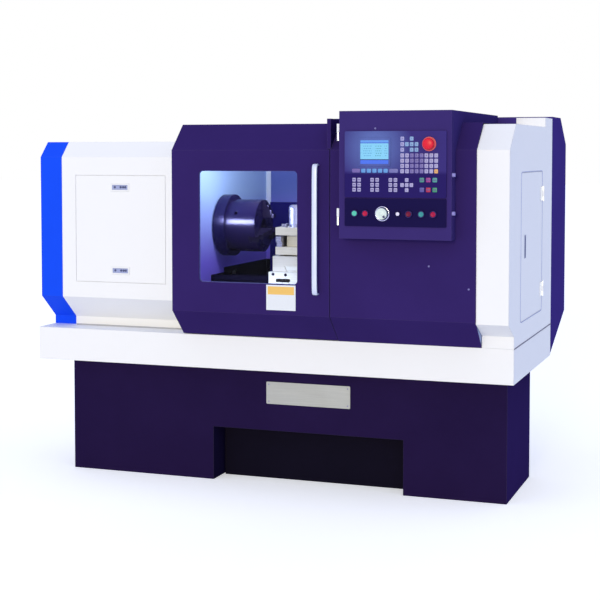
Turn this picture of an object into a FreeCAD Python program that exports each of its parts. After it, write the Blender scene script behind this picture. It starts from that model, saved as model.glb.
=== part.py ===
import FreeCAD, Part
import math
import os

# CNC flat-bed turning lathe with a full guard.  Millimetres.
# Drawing axes: X runs along the machine from the left end of the chip tray, Y runs from the
# front edge of the tray into the machine, Z runs up from the floor.  The operator stands at -Y.
# Every solid is moved at the end so that the origin is the bottom centre of the whole machine.

Vec = FreeCAD.Vector

# ------------------------------------------------------------------ general clearances and sheet
SHEET = 3.0             # sheet thickness of guards, tray and cabinet
FIT = 0.3               # gap between sliding or swinging pieces
RUN = 0.05              # radial running clearance of shafts
PANEL_GAP = 1.5         # gap round a flush panel

# ------------------------------------------------------------------ base stand and coolant tank
BASE_X = 135.0          # left end of the stand
BASE_OVERHANG = 42.0    # tray beyond the stand at the right
BASE_Y = 85.0           # front face, set back under the tray
BASE_DEPTH = 533.0
BASE_HEIGHT = 524.0
RECESS_X = 850.0        # front recess for the coolant tank
RECESS_LENGTH = 894.0
RECESS_HEIGHT = 243.0
RECESS_DEPTH = 440.0
TANK_SETBACK = 105.0    # tank front behind the stand's face
TANK_GAP = 6.0
TANK_LID = 16.0
STAND_WALL = 12.0
TANK_PORT = 45.0        # radius of the pump opening in the tank lid
TANK_PORT_INSET = 160.0 # its centre from the tank's right end
PLATE_X = 1109.0        # bare machine plate on the stand
PLATE_LENGTH = 394.0
PLATE_Z = 364.0
PLATE_HEIGHT = 100.0
PLATE_THICKNESS = 2.0

# ------------------------------------------------------------------ chip tray
TRAY_LENGTH = 2240.0
TRAY_DEPTH = 916.0
TRAY_HEIGHT = 150.0
TRAY_LEDGE = 150.0      # flat ledge along the front
TRAY_REAR_LEDGE = 36.0

# ------------------------------------------------------------------ headstock guard
HEAD_FACE_Y = 25.0      # front face
HEAD_FOOT_Y = 150.0     # foot, set back from the tray edge
HEAD_FOOT_RISE = 39.0
HEAD_LOWER_RISE = 144.0 # top of the lower slope above the tray
HEAD_WAIST_RISE = 795.0 # top of the upright face above the tray
HEAD_ROOF_RISE = 865.0
HEAD_ROOF_Y = 93.0      # front edge of the roof
HEAD_BACK_Y = 760.0
END_COVER_LENGTH = 112.0
BULKHEAD_X = 787.0      # wall between headstock and work space
STRIP_WIDTH = 24.0      # bright corner strip on the rear wall
SPLASH_X = 821.0        # dark splash guard along the foot of the rear wall
SPLASH_RISE = 565.0
SPLASH_DEPTH = 30.0
ACCESS_X = 185.0        # access panel in the headstock guard
ACCESS_WIDTH = 456.0
ACCESS_RISE = 219.0
ACCESS_HEIGHT = 491.0
ACCESS_LEDGE = 14.0     # rebate behind a flush panel
LATCH_WIDTH = 85.0
LATCH_HEIGHT = 28.0
LATCH_INSET = 54.0      # latch centre from the panel's upper or lower edge
LATCH_DEPTH = 9.0
LATCH_PROUD = 2.0
LATCH_PIN = 1.5
VENT_COUNT = 8
VENT_PITCH = 34.0
VENT_LENGTH = 300.0
VENT_HEIGHT = 9.0

# ------------------------------------------------------------------ front guard line
GUARD_REACH = 120.0     # front face ahead of the tray's front edge
GUARD_LOWER_RISE = 118.0
GUARD_WAIST_RISE = 826.0
GUARD_ROOF_RISE = 940.0
FLANGE = 22.0           # return flanges of the guard sheets

# ------------------------------------------------------------------ sliding door
DOOR_X = 742.0
DOOR_WIDTH = 732.0
DOOR_LIFT = 3.0         # gap below the door
DOOR_TRAVEL = 640.0
WINDOW_X = 130.0        # window from the door's left edge
WINDOW_RISE = 250.0
WINDOW_WIDTH = 457.0
WINDOW_MARGIN = 89.0    # window's upper edge below the upper slope
WINDOW_CORNER = 18.0
GLASS = 6.0
GLASS_LAP = 10.0
GASKET = 8.0
HANDLE_X = 676.0        # handle centre from the door's left edge
HANDLE_RISE = 210.0
HANDLE_MARGIN = 58.0    # handle's upper end below the upper slope
HANDLE_WIDTH = 25.0
HANDLE_THICKNESS = 12.0
HANDLE_STAND = 26.0
LABEL_X = 446.0
LABEL_RISE = 138.0
LABEL_WIDTH = 134.0
LABEL_HEIGHT = 109.0
LABEL_THICKNESS = 1.0
RAIL_Y = 126.0          # lower door rail on the tray ledge
RAIL_WIDTH = 8.0
RAIL_HEIGHT = 6.0
SHOE_INSET = 54.0       # shoe centres from the door's ends
SHOE_LENGTH = 40.0
SHOE_WALL = 5.0
SHOE_HEIGHT = 24.0
TOP_RAIL_Y = 20.0
TOP_RAIL_THICKNESS = 8.0
TOP_RAIL_HEIGHT = 30.0
TOP_RAIL_DROP = 54.0    # rail's lower edge below the guard roof
GLIDE_LENGTH = 20.0
GLIDE_PITCH = 27.0
GLIDE_WALL = 5.0
JAMB_X = 750.0

# ------------------------------------------------------------------ fixed front guard and end guard
SEAM = 3.0              # gap between door and fixed guard
END_GUARD_LENGTH = 135.0
SHOULDER_LENGTH = 17.0  # square stop plate beside the door's upper slope
SHOULDER_RISE = 958.0
SHOULDER_Y = 25.0
END_FOOT_RISE = 52.0
END_LOWER_RISE = 112.0
END_REACH = 117.0
END_ROOF_Y = 10.0
END_ROOF_RISE = 933.0
COLUMN_Y = 724.0        # front of the rear column
COLUMN_RISE = 976.0
BEAM_X = 1320.0         # left end of the raised rear beam
SIDE_DOOR_Y = 140.0
SIDE_DOOR_WIDTH = 512.0
SIDE_DOOR_RISE = 98.0
SIDE_DOOR_HEIGHT = 631.0
SIDE_HINGE_HEIGHT = 68.0
SIDE_HINGE_RISES = (160.0, 595.0)
SIDE_HINGE_LEAF = 46.0
SIDE_HINGE_RADIUS = 5.0
PULL_Y = 82.0           # recessed pull from the side door's free edge
PULL_RISE = 268.0
PULL_WIDTH = 22.0
PULL_HEIGHT = 94.0
PULL_DEPTH = 16.0

# ------------------------------------------------------------------ rear electrical cabinet
CABINET_X = 1125.0
CABINET_DEPTH = 421.0
CABINET_FOOT_Z = 532.0
CABINET_HEEL_Z = 696.0
CABINET_SHOULDER_Z = 1530.0
CABINET_TOP_Z = 1659.0
CABINET_ROOF_DEPTH = 246.0
CABINET_DOOR_INSET = 50.0
CABINET_DOOR_Z = 760.0
CABINET_DOOR_HEIGHT = 720.0
CABINET_HINGE_HEIGHT = 60.0
CABINET_HINGE_RADIUS = 6.0
CABINET_LATCH_Z = 1120.0
CABINET_LATCH_LENGTH = 110.0
CABINET_LATCH_REACH = 16.0
DRIVE_COUNT = 5
DRIVE_GAP = 34.0
DRIVE_HEIGHT = 205.0
DRIVE_DEPTH = 148.0
DRIVE_RISE = 420.0      # above the cabinet door's lower edge
RELAY_RISE = 230.0
RELAY_HEIGHT = 80.0
PLATE_MARGIN = 70.0

# ------------------------------------------------------------------ control box
BOX_SHIFT = 63.0        # left side from the fixed guard's left end
BOX_WIDTH = 478.0
BOX_Z = 1132.0
BOX_HEIGHT = 529.0
BOX_FRONT_Y = -190.0
BOX_DOOR_DEPTH = 22.0
BOX_DOOR_GAP = 2.0
BOX_HINGE_RADIUS = 7.0
BOX_HINGE_HEIGHT = 71.0
BOX_HINGE_RISES = (54.0, 406.0)
BOX_LATCH_RISES = (110.0, 266.0)
BOX_LATCH_RADIUS = 8.0
BOX_LATCH_REACH = 12.0
UNIT_INSET = 26.0       # keypad unit from the box's left edge
UNIT_WIDTH = 431.0
UNIT_RISE = 172.0       # above the box's lower edge
UNIT_HEIGHT = 273.0
UNIT_DEPTH = 7.0
UNIT_BACK = 36.0        # electronics behind the box door
LOWER_RISE = 53.0       # lower push-button panel above the box's lower edge
LOWER_HEIGHT = 115.0
LOWER_DEPTH = 5.0
SCREEN_X = 68.0         # from the unit's left edge
SCREEN_Z = 138.0        # from the unit's lower edge
SCREEN_WIDTH = 121.0
SCREEN_HEIGHT = 98.0
SCREEN_FRAME = 9.0
KEY_DEPTH = 2.5
# left and low corner in the unit, columns, rows, pitch along X and Z, width, height
KEY_BLOCKS = (
    (32.5, 102.3, 1, 1, 24.0, 21.0, 35.0, 16.6),   # soft keys under the screen
    (72.5, 102.3, 5, 1, 23.9, 21.0, 18.0, 16.6),
    (191.5, 102.3, 1, 1, 24.0, 21.0, 38.0, 16.6),
    (239.4, 100.6, 8, 4, 20.3, 21.4, 15.5, 17.0),  # letters and numbers
    (239.4, 188.0, 1, 3, 20.3, 22.5, 15.5, 17.0),  # page keys
    (258.7, 210.5, 3, 1, 20.3, 22.5, 15.5, 17.0),  # cursor keys
    (279.0, 233.0, 1, 1, 20.3, 22.5, 15.5, 17.0),
    (279.0, 188.0, 2, 1, 20.3, 22.5, 15.5, 17.0),
    (34.3, 24.0, 2, 3, 21.6, 20.5, 15.0, 16.0),    # operating modes
    (111.9, 24.0, 2, 3, 21.6, 20.5, 15.0, 16.0),
    (189.8, 24.0, 2, 3, 21.6, 20.5, 15.0, 16.0),
    (239.4, 44.5, 3, 1, 19.6, 20.5, 15.0, 16.0),   # axis cross
    (259.0, 24.0, 1, 1, 19.6, 20.5, 15.0, 16.0),
    (259.0, 65.0, 1, 1, 19.6, 20.5, 15.0, 16.0),
    (320.5, 24.0, 3, 2, 27.0, 40.0, 19.0, 19.0),   # cycle keys
)
ESTOP_X = 360.0         # from the unit's left edge
ESTOP_Z = 220.0         # from the unit's lower edge
ESTOP_RADIUS = 23.5
ESTOP_RING = 29.0
ESTOP_REACH = 27.0
ESTOP_PLATE = 3.0
ESTOP_STEM = 10.0
ESTOP_TRAVEL = 5.0
BUTTON_RADIUS = 11.0
BUTTON_WALL = 3.0
BUTTON_HEIGHT = 9.0
BUTTON_TRAVEL = 3.0
WHEEL_RADIUS = 24.0     # pulse handwheel
WHEEL_RING = 31.0
WHEEL_X = 163.0         # from the lower panel's left edge
WHEEL_REACH = 28.0
WHEEL_HUB = 8.0
KNOB_RADIUS = 5.0       # finger knob of the handwheel
KNOB_RISE = 5.0

# ------------------------------------------------------------------ bed, headstock and drive
AXIS_Y = 350.0          # spindle axis
AXIS_Z = 1149.0
BED_X = 195.0
BED_END_GAP = 15.0       # bed's right end from the inner end wall
BED_WIDTH = 300.0
WAY_Z = 905.0           # top of the flat rear way
WAY_WIDTH = 70.0
WAY_DEPTH = 34.0
VEE_HEIGHT = 18.0
BED_WALL = 30.0
BED_FOOT = 26.0
RIB_PITCH = 165.0
RIB_THICKNESS = 14.0
RIB_WINDOW = (110.0, 130.0)  # opening in each rib, wide and high
HEADSTOCK_X = 200.0
HEADSTOCK_LENGTH = 570.0
HEADSTOCK_WIDTH = 300.0
HEADSTOCK_RISE = 181.0  # top above the spindle axis
BEARING_RADIUS = 62.0
BEARING_WIDTH = 44.0
BEARING_INSET = 12.0
BOSS_RADIUS = 100.0
BOSS_LENGTH = 22.0
SPINDLE_RADIUS = 42.0
SPINDLE_BORE = 26.0
SPINDLE_TAIL_X = 110.0
NOSE_RADIUS = 85.0
NOSE_LENGTH = 6.0
NOSE_GAP = 1.0
PULLEY_X = 132.0
PULLEY_WIDTH = 48.0
PULLEY_RADIUS = 105.0
PULLEY_FLANGE = 3.0     # thickness of the belt's side flanges
PULLEY_RIM = 5.0        # their height above the belt's seat
MOTOR_Y = 622.0
MOTOR_Z = 846.0
MOTOR_PULLEY_RADIUS = 62.0
MOTOR_SIZE = 200.0
MOTOR_LENGTH = 340.0
MOTOR_SHAFT = 19.0
MOTOR_MOUNT = 15.0
MOTOR_BEVEL = 28.0
FIN_COUNT = 6
FIN_PITCH = 40.0
FIN_HEIGHT = 4.0
FIN_THICKNESS = 8.0
TERMINAL_X = 60.0       # terminal box from the motor's front
TERMINAL_LENGTH = 120.0
TERMINAL_WIDTH = 100.0
TERMINAL_HEIGHT = 55.0
BELT_THICKNESS = 6.0

# ------------------------------------------------------------------ chuck
ADAPTER_RADIUS = 144.0
ADAPTER_LENGTH = 50.0
CHUCK_RADIUS = 121.5
CHUCK_LENGTH = 145.0
CHUCK_BORE = 30.0
SLOT_WIDTH = 26.0
SLOT_DEPTH = 33.0
TONGUE_WIDTH = 34.0
TONGUE_DEPTH = 12.0
JAW_INNER = 38.0
JAW_OUTER = 118.0
JAW_STEPS = ((118.0, 13.0), (96.0, 29.0), (74.0, 43.0), (56.0, 55.0))
JAW_ANGLES = (90.0, 210.0, 330.0)

# ------------------------------------------------------------------ carriage, cross slide, tool post
SADDLE_X = 1118.0
SADDLE_LENGTH = 280.0
SADDLE_Y = 88.0
SADDLE_DEPTH = 472.0
SADDLE_HEIGHT = 52.0
APRON_LENGTH = 160.0
APRON_DEPTH = 90.0
APRON_DROP = 112.0
SCREW_Y = 150.0         # long ball screw
SCREW_Z = 850.0
SCREW_RADIUS = 16.0
SCREW_X = 800.0
SCREW_BLOCK = 34.0
NUT_RADIUS = 30.0
NUT_FLANGE = 42.0
DOVETAIL_TOP = 134.0
DOVETAIL_FOOT = 110.0
DOVETAIL_HEIGHT = 26.0
SLIDE_LENGTH = 240.0
SLIDE_Y = 96.0
SLIDE_DEPTH = 344.0
SLIDE_HEIGHT = 70.0
SLIDE_INSET = 17.0      # cross slide's left side from the saddle's left end
CROSS_RADIUS = 8.0      # cross ball screw
CROSS_DROP = 15.0       # its axis below the dovetail's top
CROSS_CHANNEL = 46.0
SERVO_SIZE = 100.0
SERVO_LENGTH = 125.0
SERVO_PLATE = 15.0
POST_X = 105.0          # tool post axis from the cross slide's left side
POST_Y = 104.0          # and from its front
POST_SIZE = 190.0
POST_CORE = 110.0
POST_PLATE = 35.0
POST_SLOT = 52.0
POST_SPACER = 6.0
CAP_RADIUS = 62.0
CAP_HEIGHT = 98.0
TOOL_SIZE = 25.0
TOOL_OVERHANG = 32.0
TOOL_PACKING = 22.0
POST_BOLT = 8.0
POST_BOLT_RISE = 14.0

# ------------------------------------------------------------------ tailstock
TAIL_END_GAP = 70.0      # tailstock's right side from the inner end wall
TAIL_LENGTH = 240.0
TAIL_BARREL = 60.0
TAIL_NECK = 120.0
TAIL_BASE = 74.0
QUILL_RADIUS = 35.0
QUILL_NOSE = 38.0       # quill ahead of the barrel at rest
QUILL_LENGTH = 250.0
CENTRE_RADIUS = 24.0
CENTRE_BODY = 52.0
CENTRE_TIP = 28.0
CENTRE_STEM = 11.0

# ------------------------------------------------------------------ worked-out places
TRAY_TOP = BASE_HEIGHT + TRAY_HEIGHT
TRAY_FLOOR = BASE_HEIGHT + SHEET
GUARD_ROOF = TRAY_TOP + GUARD_ROOF_RISE
DOOR_RIGHT = DOOR_X + DOOR_WIDTH
WINDOW_HEIGHT = GUARD_WAIST_RISE - WINDOW_RISE - WINDOW_MARGIN
HANDLE_LENGTH = GUARD_WAIST_RISE - HANDLE_RISE - HANDLE_MARGIN
FRONT_X = DOOR_RIGHT + SEAM
END_X = TRAY_LENGTH - END_GUARD_LENGTH
BULKHEAD_FACE = BULKHEAD_X + SHEET
REAR_WALL_Y = TRAY_DEPTH - SHEET
CABINET_BACK = TRAY_DEPTH + CABINET_DEPTH
BED_FRONT = AXIS_Y - BED_WIDTH / 2
BED_BACK = AXIS_Y + BED_WIDTH / 2
END_WALL_X = END_X - SHEET - 2.0
BED_RIGHT = END_WALL_X - BED_END_GAP
HEADSTOCK_RIGHT = HEADSTOCK_X + HEADSTOCK_LENGTH
NOSE_X = HEADSTOCK_RIGHT + BOSS_LENGTH + NOSE_GAP
ADAPTER_X = NOSE_X + NOSE_LENGTH
CHUCK_X = ADAPTER_X + ADAPTER_LENGTH
CHUCK_FACE = CHUCK_X + CHUCK_LENGTH
SADDLE_Z = WAY_Z + FIT
SADDLE_TOP = SADDLE_Z + SADDLE_HEIGHT
SADDLE_BACK = SADDLE_Y + SADDLE_DEPTH
SADDLE_MID = SADDLE_X + SADDLE_LENGTH / 2
SLIDE_X = SADDLE_X + SLIDE_INSET
SLIDE_MID = SADDLE_MID
SLIDE_TOP = SADDLE_TOP + FIT + SLIDE_HEIGHT
CROSS_Z = SADDLE_TOP + DOVETAIL_HEIGHT - CROSS_DROP
POST_AXIS_X = SLIDE_X + POST_X
POST_AXIS_Y = SLIDE_Y + POST_Y
POST_Z = SLIDE_TOP + POST_SPACER + FIT
POST_TOP = POST_Z + 2 * POST_PLATE + POST_SLOT
TAIL_RIGHT = END_WALL_X - TAIL_END_GAP
TAIL_X = TAIL_RIGHT - TAIL_LENGTH
QUILL_X = TAIL_X - QUILL_NOSE
BOX_X = FRONT_X + BOX_SHIFT
BOX_RIGHT = BOX_X + BOX_WIDTH
BOX_TOP = BOX_Z + BOX_HEIGHT
BOX_DOOR_BACK = BOX_FRONT_Y + BOX_DOOR_DEPTH
UNIT_X = BOX_X + UNIT_INSET
UNIT_Z = BOX_Z + UNIT_RISE
LOWER_Z = BOX_Z + LOWER_RISE
UNIT_FRONT = BOX_FRONT_Y - UNIT_DEPTH
LOWER_FRONT = BOX_FRONT_Y - LOWER_DEPTH
HINGE_PROUD = SIDE_HINGE_RADIUS * 2

MACHINE_X = (0.0, TRAY_LENGTH + HINGE_PROUD)
MACHINE_Y = (UNIT_FRONT - ESTOP_REACH, CABINET_BACK + SHEET + CABINET_LATCH_REACH)
ORIGIN = Vec(-(MACHINE_X[0] + MACHINE_X[1]) / 2, -(MACHINE_Y[0] + MACHINE_Y[1]) / 2, 0)


# ------------------------------------------------------------------ small shape makers
def box(x, y, z):
    """A block between two corners, given as (low, high) pairs."""
    return Part.makeBox(x[1] - x[0], y[1] - y[0], z[1] - z[0], Vec(x[0], y[0], z[0]))


def rod(axis, centre, radius, span):
    """A round bar along 'x', 'y' or 'z'; centre holds the other two coordinates in order."""
    start, end = span
    place = {"x": Vec(start, centre[0], centre[1]), "y": Vec(centre[0], start, centre[1]),
             "z": Vec(centre[0], centre[1], start)}[axis]
    way = {"x": Vec(1, 0, 0), "y": Vec(0, 1, 0), "z": Vec(0, 0, 1)}[axis]
    return Part.makeCylinder(radius, end - start, place, way)


def ring(axis, centre, outer, inner, span):
    """A round tube: a bar less its bore."""
    return rod(axis, centre, outer, span).cut(rod(axis, centre, inner, span))


def prism(points, axis, span):
    """A polygon drawn in the two other axes and pushed along the named axis."""
    start, end = span
    make = {"x": lambda p: Vec(start, p[0], p[1]), "y": lambda p: Vec(p[0], start, p[1]),
            "z": lambda p: Vec(p[0], p[1], start)}[axis]
    push = {"x": Vec(end - start, 0, 0), "y": Vec(0, end - start, 0), "z": Vec(0, 0, end - start)}[axis]
    wire = Part.makePolygon([make(p) for p in points] + [make(points[0])])
    return Part.Face(wire).extrude(push)


def inset(points, distance):
    """An open line of points moved to its left side by a distance, corners kept sharp."""
    lines = []
    for (a, b), (c, d) in zip(points, points[1:]):
        length = math.hypot(c - a, d - b)
        shift = (-(d - b) / length * distance, (c - a) / length * distance)
        lines.append(((a + shift[0], b + shift[1]), (c + shift[0], d + shift[1])))
    moved = [lines[0][0]]
    for ((a, b), (c, d)), ((e, f), (g, h)) in zip(lines, lines[1:]):
        turn = (c - a) * (h - f) - (d - b) * (g - e)
        reach = ((e - a) * (h - f) - (f - b) * (g - e)) / turn
        moved.append((a + reach * (c - a), b + reach * (d - b)))
    return moved + [lines[-1][1]]


def folded(points, x, thickness=SHEET):
    """Folded sheet: the outline's line of points given a thickness, pushed along X."""
    return prism(points + inset(points, -thickness)[::-1], "x", x)


def soft_plate(x, z, radius, y):
    """An upright plate with rounded corners, its thickness along Y."""
    plate = box(x, y, z)
    edges = [e for e in plate.Edges if abs(e.Vertexes[0].Y - e.Vertexes[1].Y) > 0.5 * (y[1] - y[0])]
    return plate.makeFillet(radius, edges)


def joined(shapes):
    """All shapes fused into one, with flush faces merged."""
    whole = shapes[0].multiFuse(shapes[1:]) if len(shapes) > 1 else shapes[0]
    return whole.removeSplitter()


def group(shapes):
    """Several separate solids kept in one node."""
    return Part.makeCompound(shapes)


# ------------------------------------------------------------------ outlines in the YZ plane
def guard_line(lift):
    """Door and fixed guard: foot, lower slope, upright face, upper slope."""
    return [(0.0, TRAY_TOP + lift), (-GUARD_REACH, TRAY_TOP + GUARD_LOWER_RISE),
            (-GUARD_REACH, TRAY_TOP + GUARD_WAIST_RISE), (0.0, GUARD_ROOF)]


def head_line():
    """Headstock guard: set-back foot, lower slope, upright face, upper slope, roof, back."""
    return [(HEAD_FOOT_Y, TRAY_TOP), (HEAD_FOOT_Y, TRAY_TOP + HEAD_FOOT_RISE),
            (HEAD_FACE_Y, TRAY_TOP + HEAD_LOWER_RISE), (HEAD_FACE_Y, TRAY_TOP + HEAD_WAIST_RISE),
            (HEAD_ROOF_Y, TRAY_TOP + HEAD_ROOF_RISE), (HEAD_BACK_Y, TRAY_TOP + HEAD_ROOF_RISE),
            (HEAD_BACK_Y, TRAY_TOP)]


def end_line():
    """Right end guard: short upright foot, flat lower slope, face, upper slope, roof."""
    return [(0.0, TRAY_TOP), (0.0, TRAY_TOP + END_FOOT_RISE),
            (-END_REACH, TRAY_TOP + END_LOWER_RISE), (-END_REACH, TRAY_TOP + GUARD_WAIST_RISE),
            (END_ROOF_Y, TRAY_TOP + END_ROOF_RISE), (COLUMN_Y, TRAY_TOP + END_ROOF_RISE)]


# ------------------------------------------------------------------ base and tray
def base_stand():
    """Hollow stand, open beneath, with the tank recess in its front."""
    right, back = TRAY_LENGTH - BASE_OVERHANG, BASE_Y + BASE_DEPTH
    recess_right = RECESS_X + RECESS_LENGTH
    stand = box((BASE_X, right), (BASE_Y, back), (0, BASE_HEIGHT))
    y = (BASE_Y + STAND_WALL, back - STAND_WALL)
    for x, low in (((BASE_X + STAND_WALL, RECESS_X - STAND_WALL), -1),
                   ((recess_right + STAND_WALL, right - STAND_WALL), -1),
                   ((BASE_X + STAND_WALL, right - STAND_WALL), RECESS_HEIGHT + STAND_WALL)):
        stand = stand.cut(box(x, y, (low, BASE_HEIGHT - STAND_WALL)))
    recess = box((RECESS_X, recess_right), (BASE_Y, BASE_Y + RECESS_DEPTH), (0, RECESS_HEIGHT))
    return stand.cut(recess)


def coolant_tank():
    x = (RECESS_X + TANK_GAP, RECESS_X + RECESS_LENGTH - TANK_GAP)
    y = (BASE_Y + TANK_SETBACK, BASE_Y + RECESS_DEPTH)
    top = RECESS_HEIGHT - TANK_GAP
    body = box((x[0] + TANK_GAP, x[1] - TANK_GAP), (y[0] + TANK_GAP, y[1]), (0, top - TANK_LID))
    inner = box((x[0] + TANK_GAP + SHEET, x[1] - TANK_GAP - SHEET),
        (y[0] + TANK_GAP + SHEET, y[1] - SHEET),
                (SHEET, top - TANK_LID))
    lid = box(x, y, (top - TANK_LID, top))
    port = rod("z", (x[1] - TANK_PORT_INSET, (y[0] + y[1]) / 2), TANK_PORT, (top - TANK_LID - 1, top + 1))
    return joined([body.cut(inner), lid.cut(port)])


def machine_plate():
    y = (BASE_Y - PLATE_THICKNESS, BASE_Y)
    return soft_plate((PLATE_X, PLATE_X + PLATE_LENGTH), (PLATE_Z, PLATE_Z + PLATE_HEIGHT), 5.0, y)


def chip_tray():
    pan = box((0, TRAY_LENGTH), (0, TRAY_DEPTH), (BASE_HEIGHT, TRAY_TOP))
    hollow = box((SHEET, TRAY_LENGTH - SHEET), (SHEET, TRAY_DEPTH - SHEET),
        (TRAY_FLOOR, TRAY_TOP - SHEET))
    well = box((BULKHEAD_FACE, END_WALL_X), (TRAY_LEDGE, TRAY_DEPTH - TRAY_REAR_LEDGE),
               (TRAY_TOP - 2 * SHEET, TRAY_TOP + 1))
    bed_gap = box((BED_X - PANEL_GAP, BULKHEAD_FACE), (BED_FRONT - PANEL_GAP, BED_BACK + PANEL_GAP),
                  (TRAY_TOP - 2 * SHEET, TRAY_TOP + 1))
    return pan.cut(hollow).cut(well).cut(bed_gap).removeSplitter()


# ------------------------------------------------------------------ headstock guard
def access_hole(grow, y):
    """The access panel's outline, grown or shrunk, as a block through the guard face."""
    z = TRAY_TOP + ACCESS_RISE
    return box((ACCESS_X - grow, ACCESS_X + ACCESS_WIDTH + grow), y, (z - grow, z + ACCESS_HEIGHT + grow))


def headstock_cover():
    shell = folded(head_line(), (END_COVER_LENGTH, BULKHEAD_X))
    face = (HEAD_FACE_Y, HEAD_FACE_Y + SHEET)
    rebate = (HEAD_FACE_Y + SHEET, HEAD_FACE_Y + 2 * SHEET)
    frame = access_hole(ACCESS_LEDGE, rebate).cut(access_hole(-ACCESS_LEDGE, rebate))
    return joined([shell.cut(access_hole(PANEL_GAP, face)), frame])


def end_cover():
    shell = folded(head_line(), (0, END_COVER_LENGTH))
    end = prism(inset(head_line(), -SHEET), "x", (0, SHEET))
    middle = (HEAD_FACE_Y + HEAD_BACK_Y) / 2
    low = TRAY_TOP + (HEAD_LOWER_RISE + HEAD_WAIST_RISE) / 2 - VENT_PITCH * (VENT_COUNT - 1) / 2
    for n in range(VENT_COUNT):
        z = low + n * VENT_PITCH
        end = end.cut(box((-1, SHEET + 1), (middle - VENT_LENGTH / 2, middle + VENT_LENGTH / 2),
                          (z, z + VENT_HEIGHT)))
    return joined([shell, end])


def access_panel():
    panel = access_hole(0, (HEAD_FACE_Y, HEAD_FACE_Y + SHEET))
    for z in latch_heights():
        panel = panel.cut(latch_block(0, z, (HEAD_FACE_Y - 1, HEAD_FACE_Y + SHEET + 1)))
    return panel


def latch_heights():
    low = TRAY_TOP + ACCESS_RISE
    return (low + LATCH_INSET, low + ACCESS_HEIGHT - LATCH_INSET)


def latch_block(grow, z, y):
    middle = ACCESS_X + ACCESS_WIDTH / 2
    return box((middle - LATCH_WIDTH / 2 - grow, middle + LATCH_WIDTH / 2 + grow), y,
               (z - LATCH_HEIGHT / 2 - grow, z + LATCH_HEIGHT / 2 + grow))


def latch_dish(z):
    """The fixed dish of a flush latch, let into the panel."""
    front = HEAD_FACE_Y - LATCH_PROUD
    rim = latch_block(4.0, z, (front, HEAD_FACE_Y))
    cup = latch_block(-FIT, z, (HEAD_FACE_Y, HEAD_FACE_Y + LATCH_DEPTH))
    hollow = latch_block(-SHEET, z, (front - 1, HEAD_FACE_Y + LATCH_DEPTH - SHEET))
    return joined([rim, cup]).cut(hollow)


def latch_paddle(z):
    """The lifting paddle: a bent plate that swings about its upper edge."""
    front = HEAD_FACE_Y - LATCH_PROUD
    middle = ACCESS_X + ACCESS_WIDTH / 2
    half = LATCH_WIDTH / 2 - SHEET - FIT
    pin_z = z + LATCH_HEIGHT / 2 - SHEET - FIT - LATCH_PIN
    low = z - LATCH_HEIGHT / 2 + SHEET + FIT
    flap = box((middle - half, middle + half), (front, front + 2 * LATCH_PIN), (low, pin_z))
    return joined([flap, rod("x", (front + LATCH_PIN, pin_z), LATCH_PIN, (middle - half, middle + half))])


def bulkhead():
    head = head_line()
    roof = TRAY_TOP + END_ROOF_RISE
    outline = head[:5] + [(HEAD_ROOF_Y, roof), (REAR_WALL_Y, roof), (REAR_WALL_Y, TRAY_TOP)]
    wall = prism(outline, "x", (BULKHEAD_X, BULKHEAD_FACE))
    gap = box((BULKHEAD_X - 1, BULKHEAD_FACE + 1), (BED_FRONT - PANEL_GAP, BED_BACK + PANEL_GAP),
              (TRAY_TOP - 1, WAY_Z + VEE_HEIGHT + PANEL_GAP))
    hole = rod("x", (AXIS_Y, AXIS_Z), BOSS_RADIUS + 4.0, (BULKHEAD_X - 1, BULKHEAD_FACE + 1))
    return wall.cut(gap).cut(hole)


def rear_wall():
    y = (REAR_WALL_Y, TRAY_DEPTH)
    roof = TRAY_TOP + END_ROOF_RISE
    wall = box((BULKHEAD_X, END_WALL_X), y, (TRAY_TOP, roof))
    strip = box((BULKHEAD_FACE, BULKHEAD_FACE + STRIP_WIDTH), (REAR_WALL_Y - SHEET, REAR_WALL_Y),
        (TRAY_TOP, roof))
    return joined([wall, strip])


def rear_splash():
    """Splash guard on the tray's rear ledge: an upright sheet folded back to the rear wall."""
    front = REAR_WALL_Y - SPLASH_DEPTH
    line = [(front, TRAY_TOP), (front, TRAY_TOP + SPLASH_RISE), (REAR_WALL_Y, TRAY_TOP + SPLASH_RISE)]
    return folded(line, (SPLASH_X, END_WALL_X))


# ------------------------------------------------------------------ sliding door and its rails
def window_block(grow, y):
    x = DOOR_X + WINDOW_X
    z = TRAY_TOP + WINDOW_RISE
    return soft_plate((x - grow, x + WINDOW_WIDTH + grow), (z - grow, z + WINDOW_HEIGHT + grow),
                      max(WINDOW_CORNER + grow, 2.0), y)


def door_panel():
    line = guard_line(DOOR_LIFT)
    skin = folded(line, (DOOR_X, DOOR_RIGHT))
    ends = inset(line, -SHEET)
    deep = inset(line, -FLANGE)
    web = ends + deep[::-1]
    left = prism(web, "x", (DOOR_X, DOOR_X + SHEET))
    right = prism(web, "x", (DOOR_RIGHT - SHEET, DOOR_RIGHT))
    foot = box((DOOR_X, DOOR_RIGHT), (0, SHEET + FLANGE),
        (TRAY_TOP + DOOR_LIFT, TRAY_TOP + DOOR_LIFT + SHEET))
    top_reach = TOP_RAIL_Y + TOP_RAIL_THICKNESS + GLIDE_WALL + FIT
    lip = box((DOOR_X, DOOR_RIGHT), (-1.0, top_reach), (GUARD_ROOF - SHEET, GUARD_ROOF))
    face = (-GUARD_REACH - 1, -GUARD_REACH + SHEET + 1)
    return joined([skin.cut(window_block(0, face)), left, right, foot,
        lip] + door_shoes() + door_glides())


def door_glass():
    back = -GUARD_REACH + SHEET
    return window_block(GLASS_LAP, (back, back + GLASS))


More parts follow.
